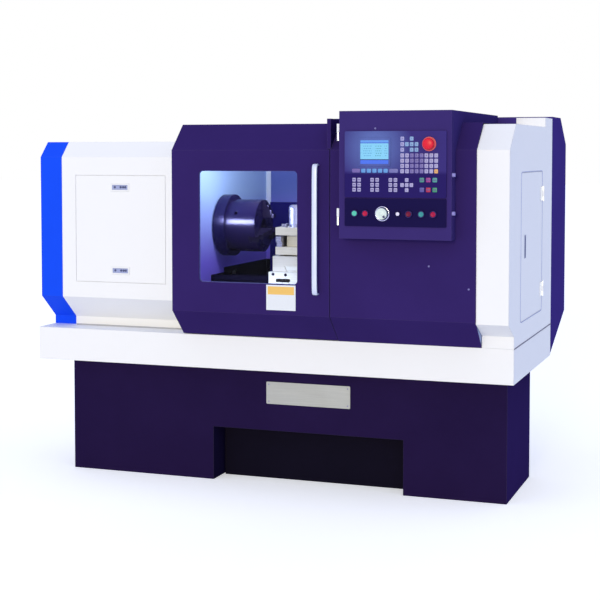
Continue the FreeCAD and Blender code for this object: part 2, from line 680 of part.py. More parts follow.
def window_gasket():
    """Rubber frame that holds the pane against the inside of the door skin."""
    back = -GUARD_REACH + SHEET
    frame = window_block(GLASS_LAP + GASKET, (back, back + GLASS + 2.0))
    frame = frame.cut(window_block(GLASS_LAP, (back - 1, back + GLASS)))
    return frame.cut(window_block(-2.0, (back - 1, back + GLASS + 3.0)))


def door_handle():
    x = DOOR_X + HANDLE_X
    z = TRAY_TOP + HANDLE_RISE
    half = HANDLE_WIDTH / 2
    front = -GUARD_REACH - HANDLE_STAND - HANDLE_THICKNESS
    grip = box((x - half, x + half), (front, front + HANDLE_THICKNESS), (z, z + HANDLE_LENGTH))
    grip = grip.makeFillet(4.0, [e for e in grip.Edges if e.Length > HANDLE_LENGTH - 1 and
                                 e.CenterOfMass.y < front + HANDLE_THICKNESS / 2])
    parts = [grip]
    for foot_z in (z, z + HANDLE_LENGTH - 2 * HANDLE_WIDTH):
        parts.append(box((x - half, x + half), (front + HANDLE_THICKNESS, -GUARD_REACH),
                         (foot_z, foot_z + 2 * HANDLE_WIDTH)))
    return joined(parts)


def door_label():
    x = DOOR_X + LABEL_X
    z = TRAY_TOP + LABEL_RISE
    return box((x, x + LABEL_WIDTH), (-GUARD_REACH - LABEL_THICKNESS, -GUARD_REACH),
        (z, z + LABEL_HEIGHT))


def door_shoes():
    """Two arms on the door's foot flange, each ending in a nylon-lined shoe over the lower rail."""
    parts = []
    floor = TRAY_TOP + DOOR_LIFT + SHEET
    near, far = RAIL_Y - RAIL_WIDTH / 2 - FIT, RAIL_Y + RAIL_WIDTH / 2 + FIT
    for x in (DOOR_X + SHOE_INSET, DOOR_RIGHT - SHOE_INSET):
        span = (x - SHOE_LENGTH / 2, x + SHOE_LENGTH / 2)
        arm = box(span, (SHEET, far + SHOE_WALL), (floor, floor + SHOE_WALL))
        shoe = box(span, (near - SHOE_WALL, far + SHOE_WALL), (TRAY_TOP + FIT, floor + SHOE_HEIGHT))
        slot = box((span[0] - 1, span[1] + 1), (near, far), (TRAY_TOP - 1, TRAY_TOP + RAIL_HEIGHT + FIT))
        parts.append(arm.fuse(shoe).cut(slot))
    return parts


def door_lower_rail():
    y = (RAIL_Y - RAIL_WIDTH / 2, RAIL_Y + RAIL_WIDTH / 2)
    left = DOOR_X - DOOR_TRAVEL + SHOE_INSET / 2
    return box((left, DOOR_RIGHT), y, (TRAY_TOP, TRAY_TOP + RAIL_HEIGHT))


def top_rail_span():
    low = GUARD_ROOF - TOP_RAIL_DROP
    return (low, low + TOP_RAIL_HEIGHT)


def door_top_rail():
    y = (TOP_RAIL_Y, TOP_RAIL_Y + TOP_RAIL_THICKNESS)
    return box((JAMB_X + SHEET, FRONT_X), y, top_rail_span())


def door_glides():
    """Two nylon blocks under the door's top lip that straddle the upper rail."""
    low, high = top_rail_span()
    parts = []
    for n in range(2):
        right = DOOR_RIGHT - 12.0 - n * GLIDE_PITCH
        y = (TOP_RAIL_Y - FIT - GLIDE_WALL, TOP_RAIL_Y + TOP_RAIL_THICKNESS + FIT + GLIDE_WALL)
        block = box((right - GLIDE_LENGTH, right), y, (low + TOP_RAIL_HEIGHT / 2, GUARD_ROOF - SHEET))
        slot = box((right - GLIDE_LENGTH - 1, right + 1),
                   (TOP_RAIL_Y - FIT, TOP_RAIL_Y + TOP_RAIL_THICKNESS + FIT), (low, high + FIT))
        parts.append(block.cut(slot))
    return parts


def door_jamb():
    """Upright sheet that fills the step between the headstock guard and the closed door."""
    line = guard_line(DOOR_LIFT)
    inner = inset(line, -(FLANGE + 4.0))
    back = HEAD_ROOF_Y
    lower = TRAY_TOP + HEAD_FOOT_RISE + 9.0
    upper = GUARD_ROOF - 14.0
    area = prism(inner + [(back, GUARD_ROOF), (back + HEAD_FOOT_Y, TRAY_TOP)], "x",
        (JAMB_X, JAMB_X + SHEET))
    keep = box((JAMB_X - 1, JAMB_X + SHEET + 1), (-GUARD_REACH, HEAD_FOOT_Y), (lower, upper))
    head = prism(head_line(), "x", (JAMB_X - 1, JAMB_X + SHEET + 1))
    return area.common(keep).cut(head)


# ------------------------------------------------------------------ fixed guards
def front_cover():
    line = guard_line(0) + [(COLUMN_Y, GUARD_ROOF)]
    skin = folded(line, (FRONT_X, END_X))
    web = inset(guard_line(0), -SHEET) + inset(guard_line(0), -FLANGE)[::-1]
    rail_low = top_rail_span()[0]
    flange = prism(web, "x", (FRONT_X, FRONT_X + SHEET))
    tab = box((FRONT_X, FRONT_X + SHEET), (-FLANGE, TOP_RAIL_Y + 2 * TOP_RAIL_THICKNESS),
        (rail_low, GUARD_ROOF - SHEET))
    tab = tab.common(prism(inset(guard_line(0), -SHEET) + [(COLUMN_Y, GUARD_ROOF), (COLUMN_Y, TRAY_TOP)],
                           "x", (FRONT_X, FRONT_X + SHEET)))
    waist = TRAY_TOP + GUARD_WAIST_RISE
    top = TRAY_TOP + SHOULDER_RISE
    x = (FRONT_X + SHEET - SHOULDER_LENGTH, FRONT_X + SHEET)
    shoulder = prism([(-GUARD_REACH, waist), (-GUARD_REACH, top), (SHOULDER_Y, top),
        (SHOULDER_Y, GUARD_ROOF), (0.0, GUARD_ROOF)], "x", x)
    inward = SHOULDER_Y + HEAD_FOOT_Y
    passage = inset(guard_line(DOOR_LIFT), SEAM) + [(inward, GUARD_ROOF + SEAM), (inward, TRAY_TOP)]
    door_sweep = prism(passage, "x", (x[0] - 1, FRONT_X))
    door_sweep = door_sweep.fuse(box((x[0] - 1, FRONT_X), (-SEAM, inward), (waist, GUARD_ROOF + SEAM)))
    foot = box((FRONT_X, END_WALL_X - FIT), (0, SHEET + FLANGE), (TRAY_TOP, TRAY_TOP + SHEET))
    return joined([skin, flange, tab, foot, shoulder.cut(door_sweep)])


def end_guard():
    """White right-hand guard: folded front and roof with the end wall and its door opening."""
    skin = folded(end_line(), (END_X, TRAY_LENGTH))
    outline = inset(end_line(), -SHEET) + [(COLUMN_Y, TRAY_TOP)]
    wall = prism(outline, "x", (TRAY_LENGTH - SHEET, TRAY_LENGTH))
    hole = side_door_block(PANEL_GAP, (TRAY_LENGTH - SHEET, TRAY_LENGTH))
    inside = (TRAY_LENGTH - 2 * SHEET, TRAY_LENGTH - SHEET)
    frame = side_door_block(ACCESS_LEDGE, inside).cut(side_door_block(-ACCESS_LEDGE, inside))
    return joined([skin, wall.cut(hole), frame])


def side_door_block(grow, x):
    z = TRAY_TOP + SIDE_DOOR_RISE
    return box(x, (SIDE_DOOR_Y - grow, SIDE_DOOR_Y + SIDE_DOOR_WIDTH + grow),
        (z - grow, z + SIDE_DOOR_HEIGHT + grow))


def pull_block(grow, x):
    y = SIDE_DOOR_Y + PULL_Y
    z = TRAY_TOP + PULL_RISE + SIDE_DOOR_RISE
    return box(x, (y - grow, y + PULL_WIDTH + grow), (z - grow, z + PULL_HEIGHT + grow))


def side_door():
    panel = side_door_block(0, (TRAY_LENGTH - SHEET, TRAY_LENGTH))
    return panel.cut(pull_block(0, (TRAY_LENGTH - SHEET - 1, TRAY_LENGTH + 1)))


def side_door_pull():
    """Black cup let into the side door."""
    rim = pull_block(3.0, (TRAY_LENGTH, TRAY_LENGTH + 1.5))
    cup = pull_block(-FIT, (TRAY_LENGTH - PULL_DEPTH, TRAY_LENGTH))
    hollow = pull_block(-SHEET, (TRAY_LENGTH - PULL_DEPTH + SHEET, TRAY_LENGTH + 2))
    return joined([rim, cup]).cut(hollow)


SIDE_HINGE_X = TRAY_LENGTH + SIDE_HINGE_RADIUS
SIDE_HINGE_Y = SIDE_DOOR_Y + SIDE_DOOR_WIDTH + PANEL_GAP / 2


def side_hinges(moving):
    """Butt hinges: outer knuckles and leaf on the wall, or middle knuckle and leaf on the door."""
    parts = []
    for rise in SIDE_HINGE_RISES:
        low = TRAY_TOP + rise
        third = SIDE_HINGE_HEIGHT / 3
        y = (SIDE_HINGE_Y - SIDE_HINGE_LEAF, SIDE_HINGE_Y) if moving else (SIDE_HINGE_Y,
            SIDE_HINGE_Y + SIDE_HINGE_LEAF)
        leaf = box((TRAY_LENGTH, TRAY_LENGTH + 2.5), y, (low, low + SIDE_HINGE_HEIGHT))
        spans = [(low + third, low + 2 * third)] if moving else [(low, low + third),
            (low + 2 * third, low + 3 * third)]
        others = [(low, low + third), (low + 2 * third,
            low + 3 * third)] if moving else [(low + third, low + 2 * third)]
        for span in others:
            room = rod("z", (SIDE_HINGE_X, SIDE_HINGE_Y), SIDE_HINGE_RADIUS + FIT,
                (span[0] - FIT, span[1] + FIT))
            leaf = leaf.cut(room)
        knuckles = [rod("z", (SIDE_HINGE_X, SIDE_HINGE_Y), SIDE_HINGE_RADIUS, span) for span in spans]
        if moving:
            trimmed = (low + third + FIT, low + 2 * third - FIT)
            knuckles = [ring("z", (SIDE_HINGE_X, SIDE_HINGE_Y), SIDE_HINGE_RADIUS, 2.0 + RUN, trimmed)]
            trim = rod("z", (SIDE_HINGE_X, SIDE_HINGE_Y), 2.0 + RUN, (low, low + SIDE_HINGE_HEIGHT))
            leaf = leaf.cut(trim)
        else:
            knuckles.append(rod("z", (SIDE_HINGE_X, SIDE_HINGE_Y), 2.0, (low, low + SIDE_HINGE_HEIGHT)))
        parts.append(joined([leaf] + knuckles))
    return parts


def end_wall():
    """Inner wall between work space and end guard, with a hole for the long screw."""
    inner = inset(guard_line(0), -SHEET)
    roof = TRAY_TOP + END_ROOF_RISE - SHEET
    x = (END_WALL_X, END_WALL_X + SHEET)
    wall = prism(inner[:3] + [(SHEET * 2, roof), (REAR_WALL_Y, roof), (REAR_WALL_Y, TRAY_TOP),
        (SHEET * 2, TRAY_TOP)],
                 "x", x)
    return wall.cut(rod("x", (SCREW_Y, SCREW_Z), SCREW_RADIUS + 4.0, (x[0] - 1, x[1] + 1)))


def rear_column():
    """Hollow post at the rear right corner, open beneath."""
    outer = box((END_X, TRAY_LENGTH), (COLUMN_Y, TRAY_DEPTH), (TRAY_TOP, TRAY_TOP + COLUMN_RISE))
    inner = box((END_X + SHEET, TRAY_LENGTH - SHEET), (COLUMN_Y + SHEET, TRAY_DEPTH - SHEET),
                (TRAY_TOP - 1, TRAY_TOP + COLUMN_RISE - SHEET))
    return outer.cut(inner)


def rear_beam():
    """Raised purple beam behind the roof, between the column and the control box duct."""
    outer = box((BEAM_X, END_X), (COLUMN_Y, TRAY_DEPTH),
        (TRAY_TOP + END_ROOF_RISE, TRAY_TOP + COLUMN_RISE))
    inner = box((BEAM_X + SHEET, END_X - SHEET), (COLUMN_Y + SHEET, TRAY_DEPTH - SHEET),
                (TRAY_TOP + END_ROOF_RISE - 1, TRAY_TOP + COLUMN_RISE - SHEET))
    return outer.cut(inner)


# ------------------------------------------------------------------ rear electrical cabinet
def cabinet_line():
    """Side outline: sloped underside, back, rear slope, roof, front."""
    return [(TRAY_DEPTH, CABINET_FOOT_Z), (CABINET_BACK, CABINET_HEEL_Z),
        (CABINET_BACK, CABINET_SHOULDER_Z),
            (TRAY_DEPTH + CABINET_ROOF_DEPTH, CABINET_TOP_Z), (TRAY_DEPTH, CABINET_TOP_Z)]


def cabinet_door_block(grow, y):
    x = (CABINET_X + CABINET_DOOR_INSET - grow, TRAY_LENGTH - CABINET_DOOR_INSET + grow)
    return box(x, y, (CABINET_DOOR_Z - grow, CABINET_DOOR_Z + CABINET_DOOR_HEIGHT + grow))


def cabinet():
    outer = prism(cabinet_line(), "x", (CABINET_X, TRAY_LENGTH))
    loop = cabinet_line() + [cabinet_line()[0], cabinet_line()[1]]
    moved = inset(loop, SHEET)[1:-1]
    inner = prism(moved, "x", (CABINET_X + SHEET, TRAY_LENGTH - SHEET))
    hole = cabinet_door_block(-ACCESS_LEDGE, (CABINET_BACK - 2 * SHEET, CABINET_BACK + 1))
    return outer.cut(inner).cut(hole)


def cabinet_door():
    outer = cabinet_door_block(0, (CABINET_BACK + FIT, CABINET_BACK + FIT + SHEET))
    return outer


CABINET_HINGE_X = CABINET_X + CABINET_DOOR_INSET - CABINET_HINGE_RADIUS - 1.0
CABINET_HINGE_Y = CABINET_BACK + CABINET_HINGE_RADIUS + 1.0


def cabinet_hinge_heights():
    return (CABINET_DOOR_Z + 60.0, CABINET_DOOR_Z + CABINET_DOOR_HEIGHT - 60.0 - CABINET_HINGE_HEIGHT)


def cabinet_hinge_pins():
    """Fixed halves of the lift-off hinges: a foot, a lower barrel and its pin."""
    parts = []
    for low in cabinet_hinge_heights():
        mid = low + CABINET_HINGE_HEIGHT / 2
        centre = (CABINET_HINGE_X, CABINET_HINGE_Y)
        foot = box((CABINET_HINGE_X - 18.0, CABINET_HINGE_X), (CABINET_BACK, CABINET_HINGE_Y),
            (low, mid - FIT))
        barrel = rod("z", centre, CABINET_HINGE_RADIUS, (low, mid - FIT))
        pin = rod("z", centre, 3.0, (low, low + CABINET_HINGE_HEIGHT - 4.0))
        parts.append(joined([foot, barrel, pin]))
    return parts


def cabinet_hinge_caps():
    """Moving halves: an upper barrel on a leaf that lies on the door."""
    parts = []
    for low in cabinet_hinge_heights():
        mid = low + CABINET_HINGE_HEIGHT / 2
        centre = (CABINET_HINGE_X, CABINET_HINGE_Y)
        high = low + CABINET_HINGE_HEIGHT
        door_face = CABINET_BACK + FIT + SHEET
        leaf = box((CABINET_HINGE_X, CABINET_HINGE_X + 32.0), (door_face, door_face + 2.5),
            (mid + FIT, high))
        barrel = rod("z", centre, CABINET_HINGE_RADIUS, (mid + FIT, high))
        whole = joined([leaf, barrel])
        parts.append(whole.cut(rod("z", centre, 3.0 + RUN, (low, high - 4.0 + FIT))))
    return parts


CABINET_LATCH_X = TRAY_LENGTH - CABINET_DOOR_INSET - 40.0


def cabinet_latch():
    """Turning handle on the cabinet door: a boss and a lever that hangs down when shut."""
    face = CABINET_BACK + FIT + SHEET
    front = CABINET_BACK + SHEET + CABINET_LATCH_REACH
    boss = rod("y", (CABINET_LATCH_X, CABINET_LATCH_Z), 14.0, (face + FIT, front))
    lever = box((CABINET_LATCH_X - 9.0, CABINET_LATCH_X + 9.0), (front - 7.0, front),
                (CABINET_LATCH_Z - CABINET_LATCH_LENGTH, CABINET_LATCH_Z))
    return joined([boss, lever])


def electrics():
    """Mounting plate on the cabinet's front wall with its drives, contactors and transformer."""
    y = TRAY_DEPTH + SHEET
    face = y + SHEET
    x = (CABINET_X + PLATE_MARGIN, TRAY_LENGTH - PLATE_MARGIN)
    parts = [box(x, (y, face), (CABINET_DOOR_Z, CABINET_DOOR_Z + CABINET_DOOR_HEIGHT))]
    pitch = (x[1] - x[0] - DRIVE_GAP) / DRIVE_COUNT
    for n in range(DRIVE_COUNT):
        left = x[0] + DRIVE_GAP + n * pitch
        high = DRIVE_HEIGHT + (n % 2) * DRIVE_GAP
        parts.append(box((left, left + pitch - DRIVE_GAP), (face, face + DRIVE_DEPTH),
                         (CABINET_DOOR_Z + DRIVE_RISE, CABINET_DOOR_Z + DRIVE_RISE + high)))
        parts.append(box((left, left + pitch - 2 * DRIVE_GAP), (face, face + DRIVE_DEPTH / 2),
                         (CABINET_DOOR_Z + RELAY_RISE, CABINET_DOOR_Z + RELAY_RISE + RELAY_HEIGHT)))
    left, low = x[0] + DRIVE_GAP, CABINET_DOOR_Z + DRIVE_GAP / 2
    parts.append(box((left, left + DRIVE_HEIGHT), (face, face + DRIVE_DEPTH), (low, low + DRIVE_DEPTH)))
    return joined(parts)


# ------------------------------------------------------------------ control box
def control_box():
    """Open-fronted box on the fixed guard, with a duct that runs back over the roof."""
    seat = [(-GUARD_REACH, BOX_Z), (-GUARD_REACH, TRAY_TOP + GUARD_WAIST_RISE), (0.0, GUARD_ROOF),
        (COLUMN_Y, GUARD_ROOF)]
    front = BOX_DOOR_BACK + BOX_DOOR_GAP
    top = BOX_TOP
    outer = prism([(front, BOX_Z)] + seat + [(COLUMN_Y, top), (front, top)], "x", (BOX_X, BOX_RIGHT))
    lined = inset(seat, SHEET)
    inner = prism([(front - 1, BOX_Z + SHEET), (lined[0][0], BOX_Z + SHEET)] + lined[1:3] +
                  [(COLUMN_Y - SHEET, GUARD_ROOF + SHEET), (COLUMN_Y - SHEET, top - SHEET),
                      (front - 1, top - SHEET)],
                  "x", (BOX_X + SHEET, BOX_RIGHT - SHEET))
    return outer.cut(inner)


def box_door():
    """Pan-shaped front of the control box."""
    y = (BOX_FRONT_Y, BOX_DOOR_BACK)
    pan = box((BOX_X, BOX_RIGHT), y, (BOX_Z, BOX_TOP))
    hollow = box((BOX_X + SHEET, BOX_RIGHT - SHEET), (BOX_FRONT_Y + SHEET, BOX_DOOR_BACK + 1),
        (BOX_Z + SHEET, BOX_TOP - SHEET))
    return pan.cut(hollow)


BOX_HINGE_X = BOX_X - BOX_HINGE_RADIUS - 1.0
BOX_HINGE_Y = BOX_DOOR_BACK - BOX_HINGE_RADIUS


def box_hinge_heights():
    return [BOX_Z + rise for rise in BOX_HINGE_RISES]


def box_hinge_pins():
    """Lower barrels with pins, welded to a strap on the side of the fixed box."""
    parts = []
    for low in box_hinge_heights():
        mid = low + BOX_HINGE_HEIGHT / 2
        centre = (BOX_HINGE_X, BOX_HINGE_Y)
        barrel = rod("z", centre, BOX_HINGE_RADIUS, (low, mid - FIT))
        strap = box((BOX_X - 4.0, BOX_X), (BOX_DOOR_BACK + BOX_DOOR_GAP, BOX_DOOR_BACK + 30.0),
            (low, mid - FIT))
        link = box((BOX_X - 10.0, BOX_X - FIT), (BOX_HINGE_Y, BOX_DOOR_BACK + BOX_DOOR_GAP + 4.0),
            (low, mid - FIT))
        link = link.cut(box((BOX_X - 3.0, BOX_X), (BOX_HINGE_Y - 1, BOX_DOOR_BACK + BOX_DOOR_GAP),
            (low, mid)))
        pin = rod("z", centre, 3.0, (low, low + BOX_HINGE_HEIGHT - 4.0))
        parts.append(joined([barrel, strap, link, pin]))
    return parts


def box_hinge_caps():
    """Upper barrels, welded to the side of the box door."""
    parts = []
    for low in box_hinge_heights():
        mid = low + BOX_HINGE_HEIGHT / 2
        high = low + BOX_HINGE_HEIGHT
        centre = (BOX_HINGE_X, BOX_HINGE_Y)
        barrel = rod("z", centre, BOX_HINGE_RADIUS, (mid + FIT, high))
        foot = box((BOX_HINGE_X, BOX_X), (BOX_HINGE_Y - BOX_HINGE_RADIUS, BOX_HINGE_Y), (mid + FIT, high))
        whole = joined([barrel, foot])
        parts.append(whole.cut(rod("z", centre, 3.0 + RUN, (low, high - 4.0 + FIT))))
    return parts


def box_latches():
    """Two small quarter-turn locks on the right-hand side of the box door."""
    parts = []
    for rise in BOX_LATCH_RISES:
        centre = (BOX_FRONT_Y + BOX_DOOR_DEPTH / 2, BOX_Z + rise)
        parts.append(rod("x", centre, BOX_LATCH_RADIUS, (BOX_RIGHT, BOX_RIGHT + BOX_LATCH_REACH)))
    return parts


def keypad_unit():
    """Front bezel of the numerical control, with the recess for its screen and the hole for the stop's stem."""
    x = (UNIT_X, UNIT_X + UNIT_WIDTH)
    z = (UNIT_Z, UNIT_Z + UNIT_HEIGHT)
    bezel = soft_plate(x, z, 6.0, (UNIT_FRONT, BOX_FRONT_Y))
    sx, sz = UNIT_X + SCREEN_X, UNIT_Z + SCREEN_Z
    frame = soft_plate((sx - SCREEN_FRAME, sx + SCREEN_WIDTH + SCREEN_FRAME),
                       (sz - SCREEN_FRAME,
                           sz + SCREEN_HEIGHT + SCREEN_FRAME), 4.0, (UNIT_FRONT - 2.0, UNIT_FRONT))
    pocket = box((sx, sx + SCREEN_WIDTH), (UNIT_FRONT - 3.0, UNIT_FRONT + 2.0), (sz, sz + SCREEN_HEIGHT))
    stem_hole = rod("y", (UNIT_X + ESTOP_X, UNIT_Z + ESTOP_Z), ESTOP_STEM + FIT,
                    (UNIT_FRONT - 1, UNIT_FRONT + ESTOP_TRAVEL + 1.0))
    return joined([bezel, frame]).cut(pocket).cut(stem_hole)


def screen():
    sx, sz = UNIT_X + SCREEN_X, UNIT_Z + SCREEN_Z
    return box((sx, sx + SCREEN_WIDTH), (UNIT_FRONT, UNIT_FRONT + 2.0), (sz, sz + SCREEN_HEIGHT))


def unit_back():
    """Electronics housing behind the box door."""
    y = (BOX_FRONT_Y + SHEET, BOX_FRONT_Y + SHEET + UNIT_BACK)
    x = (UNIT_X + 30.0, UNIT_X + UNIT_WIDTH - 30.0)
    return box(x, y, (UNIT_Z + 15.0, UNIT_Z + UNIT_HEIGHT - 15.0))


def keypad():
    """All raised keys of the unit, block by block."""
    keys = []
    y = (UNIT_FRONT - KEY_DEPTH, UNIT_FRONT)
    for left, low, columns, rows, pitch_x, pitch_z, width, height in KEY_BLOCKS:
        for place in range(round(columns) * round(rows)):
            x = UNIT_X + left + place % round(columns) * pitch_x
            z = UNIT_Z + low + place // round(columns) * pitch_z
            keys.append(box((x, x + width), y, (z, z + height)))
    return keys


def button_panel():
    """Lower panel that carries the push buttons and the pulse handwheel."""
    return soft_plate((UNIT_X, UNIT_X + UNIT_WIDTH), (LOWER_Z, LOWER_Z + LOWER_HEIGHT), 4.0,
        (LOWER_FRONT, BOX_FRONT_Y))


BUTTON_Z = LOWER_Z + LOWER_HEIGHT * 0.46
BUTTON_XS = {"start_button": 44.0, "stop_button": 90.0, "hold_button": 275.0, "coolant_button": 328.0,
             "reset_button": 378.0}
LAMP_X = 229.5


def button_rings():
    """Fixed collars round the push buttons."""
    parts = []
    for x in BUTTON_XS.values():
        centre = (UNIT_X + x, BUTTON_Z)
        parts.append(ring("y", centre, BUTTON_RADIUS + BUTTON_WALL, BUTTON_RADIUS + FIT,
                          (LOWER_FRONT - BUTTON_HEIGHT + 2.0, LOWER_FRONT)))
    lamp = rod("y", (UNIT_X + LAMP_X, BUTTON_Z), BUTTON_RADIUS,
        (LOWER_FRONT - BUTTON_HEIGHT + 2.0, LOWER_FRONT))
    return parts + [lamp]


def push_button(x):
    """A round cap that can be pressed into its collar."""
    span = (LOWER_FRONT - BUTTON_HEIGHT - 1.0, LOWER_FRONT - BUTTON_TRAVEL - 0.5)
    return rod("y", (UNIT_X + x, BUTTON_Z), BUTTON_RADIUS, span)


def estop_ring():
    """Collar of the emergency stop that guides its mushroom."""
    centre = (UNIT_X + ESTOP_X, UNIT_Z + ESTOP_Z)
    return ring("y", centre, ESTOP_RING, ESTOP_STEM + FIT, (UNIT_FRONT - ESTOP_PLATE, UNIT_FRONT))


def estop_button():
    """Red mushroom: a bevelled head on a round stem."""
    x, z = UNIT_X + ESTOP_X, UNIT_Z + ESTOP_Z
    back = UNIT_FRONT - ESTOP_PLATE - ESTOP_TRAVEL - 1.0
    tip = UNIT_FRONT - ESTOP_REACH
    head = rod("y", (x, z), ESTOP_RADIUS, (tip, back))
    head = head.makeChamfer(5.0, [e for e in head.Edges if abs(e.CenterOfMass.y - tip) < 0.1])
    stem = rod("y", (x, z), ESTOP_STEM, (back, UNIT_FRONT + 0.5))
    return joined([head, stem])


def pulse_ring():
    centre = (UNIT_X + WHEEL_X, BUTTON_Z)
    return ring("y", centre, WHEEL_RING, WHEEL_HUB + FIT, (LOWER_FRONT - 4.0, LOWER_FRONT))


def pulse_wheel():
    """Small handwheel on a round hub, with a finger knob at its lower right."""
    x, z = UNIT_X + WHEEL_X, BUTTON_Z
    back = LOWER_FRONT - 4.0 - FIT
    front = LOWER_FRONT - WHEEL_REACH
    knob_reach = (WHEEL_RADIUS - KNOB_RADIUS - 2.0) * math.sqrt(0.5)
    disc = rod("y", (x, z), WHEEL_RADIUS, (front + KNOB_RISE, back))
    knob = rod("y", (x + knob_reach, z - knob_reach), KNOB_RADIUS, (front, front + KNOB_RISE))
    hub = rod("y", (x, z), WHEEL_HUB, (back, LOWER_FRONT - 0.5))
    return joined([disc, knob, hub])


# ------------------------------------------------------------------ bed and headstock
def bed_beam_front():
    """Front beam of the bed with the inverted vee way."""
    inner = BED_FRONT + WAY_WIDTH
    mid = BED_FRONT + WAY_WIDTH / 2
    wall = (mid - BED_WALL / 2, mid + BED_WALL / 2)
    return [(BED_FRONT, TRAY_FLOOR), (inner, TRAY_FLOOR), (inner, TRAY_FLOOR + BED_FOOT),
            (wall[1], TRAY_FLOOR + 2 * BED_FOOT), (wall[1], WAY_Z - 2 * WAY_DEPTH), (inner,
                WAY_Z - WAY_DEPTH),
            (inner, WAY_Z), (mid + VEE_HEIGHT, WAY_Z), (mid, WAY_Z + VEE_HEIGHT), (mid - VEE_HEIGHT,
                WAY_Z),
            (BED_FRONT, WAY_Z), (BED_FRONT, WAY_Z - WAY_DEPTH), (wall[0], WAY_Z - 2 * WAY_DEPTH),
            (wall[0], TRAY_FLOOR + 2 * BED_FOOT), (BED_FRONT, TRAY_FLOOR + BED_FOOT)]


def bed_beam_rear():
    """Rear beam: the front beam mirrored about the spindle axis, with a flat way."""
    flat = [p for p in bed_beam_front() if p[1] <= WAY_Z]
    return [(2 * AXIS_Y - y, z) for y, z in flat][::-1]


def bed():
    span = (BED_X, BED_RIGHT)
    parts = [prism(bed_beam_front(), "x", span), prism(bed_beam_rear(), "x", span)]
    inner = (BED_FRONT + WAY_WIDTH / 2, BED_BACK - WAY_WIDTH / 2)
    middle = (TRAY_FLOOR + WAY_Z - 1.6 * WAY_DEPTH) / 2
    hole_y = (AXIS_Y - RIB_WINDOW[0] / 2, AXIS_Y + RIB_WINDOW[0] / 2)
    hole_z = (middle - RIB_WINDOW[1] / 2, middle + RIB_WINDOW[1] / 2)
    reach = BED_RIGHT - BED_X - RIB_THICKNESS
    count = int(reach // RIB_PITCH)
    for n in range(count + 1):
        x = BED_X + n * reach / count
        rib = box((x, x + RIB_THICKNESS), inner, (TRAY_FLOOR, WAY_Z - 1.6 * WAY_DEPTH))
        parts.append(rib.cut(box((x - 1, x + RIB_THICKNESS + 1), hole_y, hole_z)))
    return joined(parts)


def headstock():
    half = HEADSTOCK_WIDTH / 2
    top = AXIS_Z + HEADSTOCK_RISE
    outline = [(AXIS_Y - half, WAY_Z), (AXIS_Y + half, WAY_Z), (AXIS_Y + half, AXIS_Z + 60.0),
               (AXIS_Y + half - 70.0, top), (AXIS_Y - half + 70.0, top), (AXIS_Y - half, AXIS_Z + 60.0)]
    body = prism(outline, "x", (HEADSTOCK_X, HEADSTOCK_RIGHT))
    centre = (AXIS_Y, AXIS_Z)
    front = rod("x", centre, BOSS_RADIUS, (HEADSTOCK_RIGHT, HEADSTOCK_RIGHT + BOSS_LENGTH))
    bore = rod("x", centre, SPINDLE_RADIUS + 4.0, (HEADSTOCK_X - 1, HEADSTOCK_RIGHT + BOSS_LENGTH + 1))
    whole = joined([body, front]).cut(bore)
    for span in bearing_spans():
        whole = whole.cut(rod("x", centre, BEARING_RADIUS, span))
    vee = prism([(y, z) for y, z in bed_beam_front() if z >= WAY_Z], "x",
        (HEADSTOCK_X - 1, HEADSTOCK_RIGHT + 1))
    return whole.cut(vee)


def bearing_spans():
    left = HEADSTOCK_X + BEARING_INSET
    right = HEADSTOCK_RIGHT + BOSS_LENGTH - BEARING_INSET
    return ((left, left + BEARING_WIDTH), (right - BEARING_WIDTH, right))


def spindle_bearings():
    centre = (AXIS_Y, AXIS_Z)
    return [ring("x", centre, BEARING_RADIUS, SPINDLE_RADIUS + RUN, span) for span in bearing_spans()]


def spindle():
    """Hollow spindle with its flanged nose."""
    centre = (AXIS_Y, AXIS_Z)
    shaft = rod("x", centre, SPINDLE_RADIUS, (SPINDLE_TAIL_X, NOSE_X))
    nose = rod("x", centre, NOSE_RADIUS, (NOSE_X, ADAPTER_X))
    return joined([shaft, nose]).cut(rod("x", centre, SPINDLE_BORE, (SPINDLE_TAIL_X - 1, ADAPTER_X + 1)))


def flanged_pulley(centre, radius, bore):
    """A belt pulley between two flanges."""
    end = PULLEY_X + PULLEY_WIDTH
    seat = ring("x", centre, radius, bore, (PULLEY_X, end))
    sides = [ring("x", centre, radius + PULLEY_RIM, bore, span)
             for span in ((PULLEY_X, PULLEY_X + PULLEY_FLANGE), (end - PULLEY_FLANGE, end))]
    return joined([seat] + sides)


def spindle_pulley():
    return flanged_pulley((AXIS_Y, AXIS_Z), PULLEY_RADIUS, SPINDLE_RADIUS)


def motor_pulley():
    return flanged_pulley((MOTOR_Y, MOTOR_Z), MOTOR_PULLEY_RADIUS, MOTOR_SHAFT + RUN)


def motor_gap():
    """Place of the shaft's collar that keeps the motor pulley on."""
    return PULLEY_X - FIT


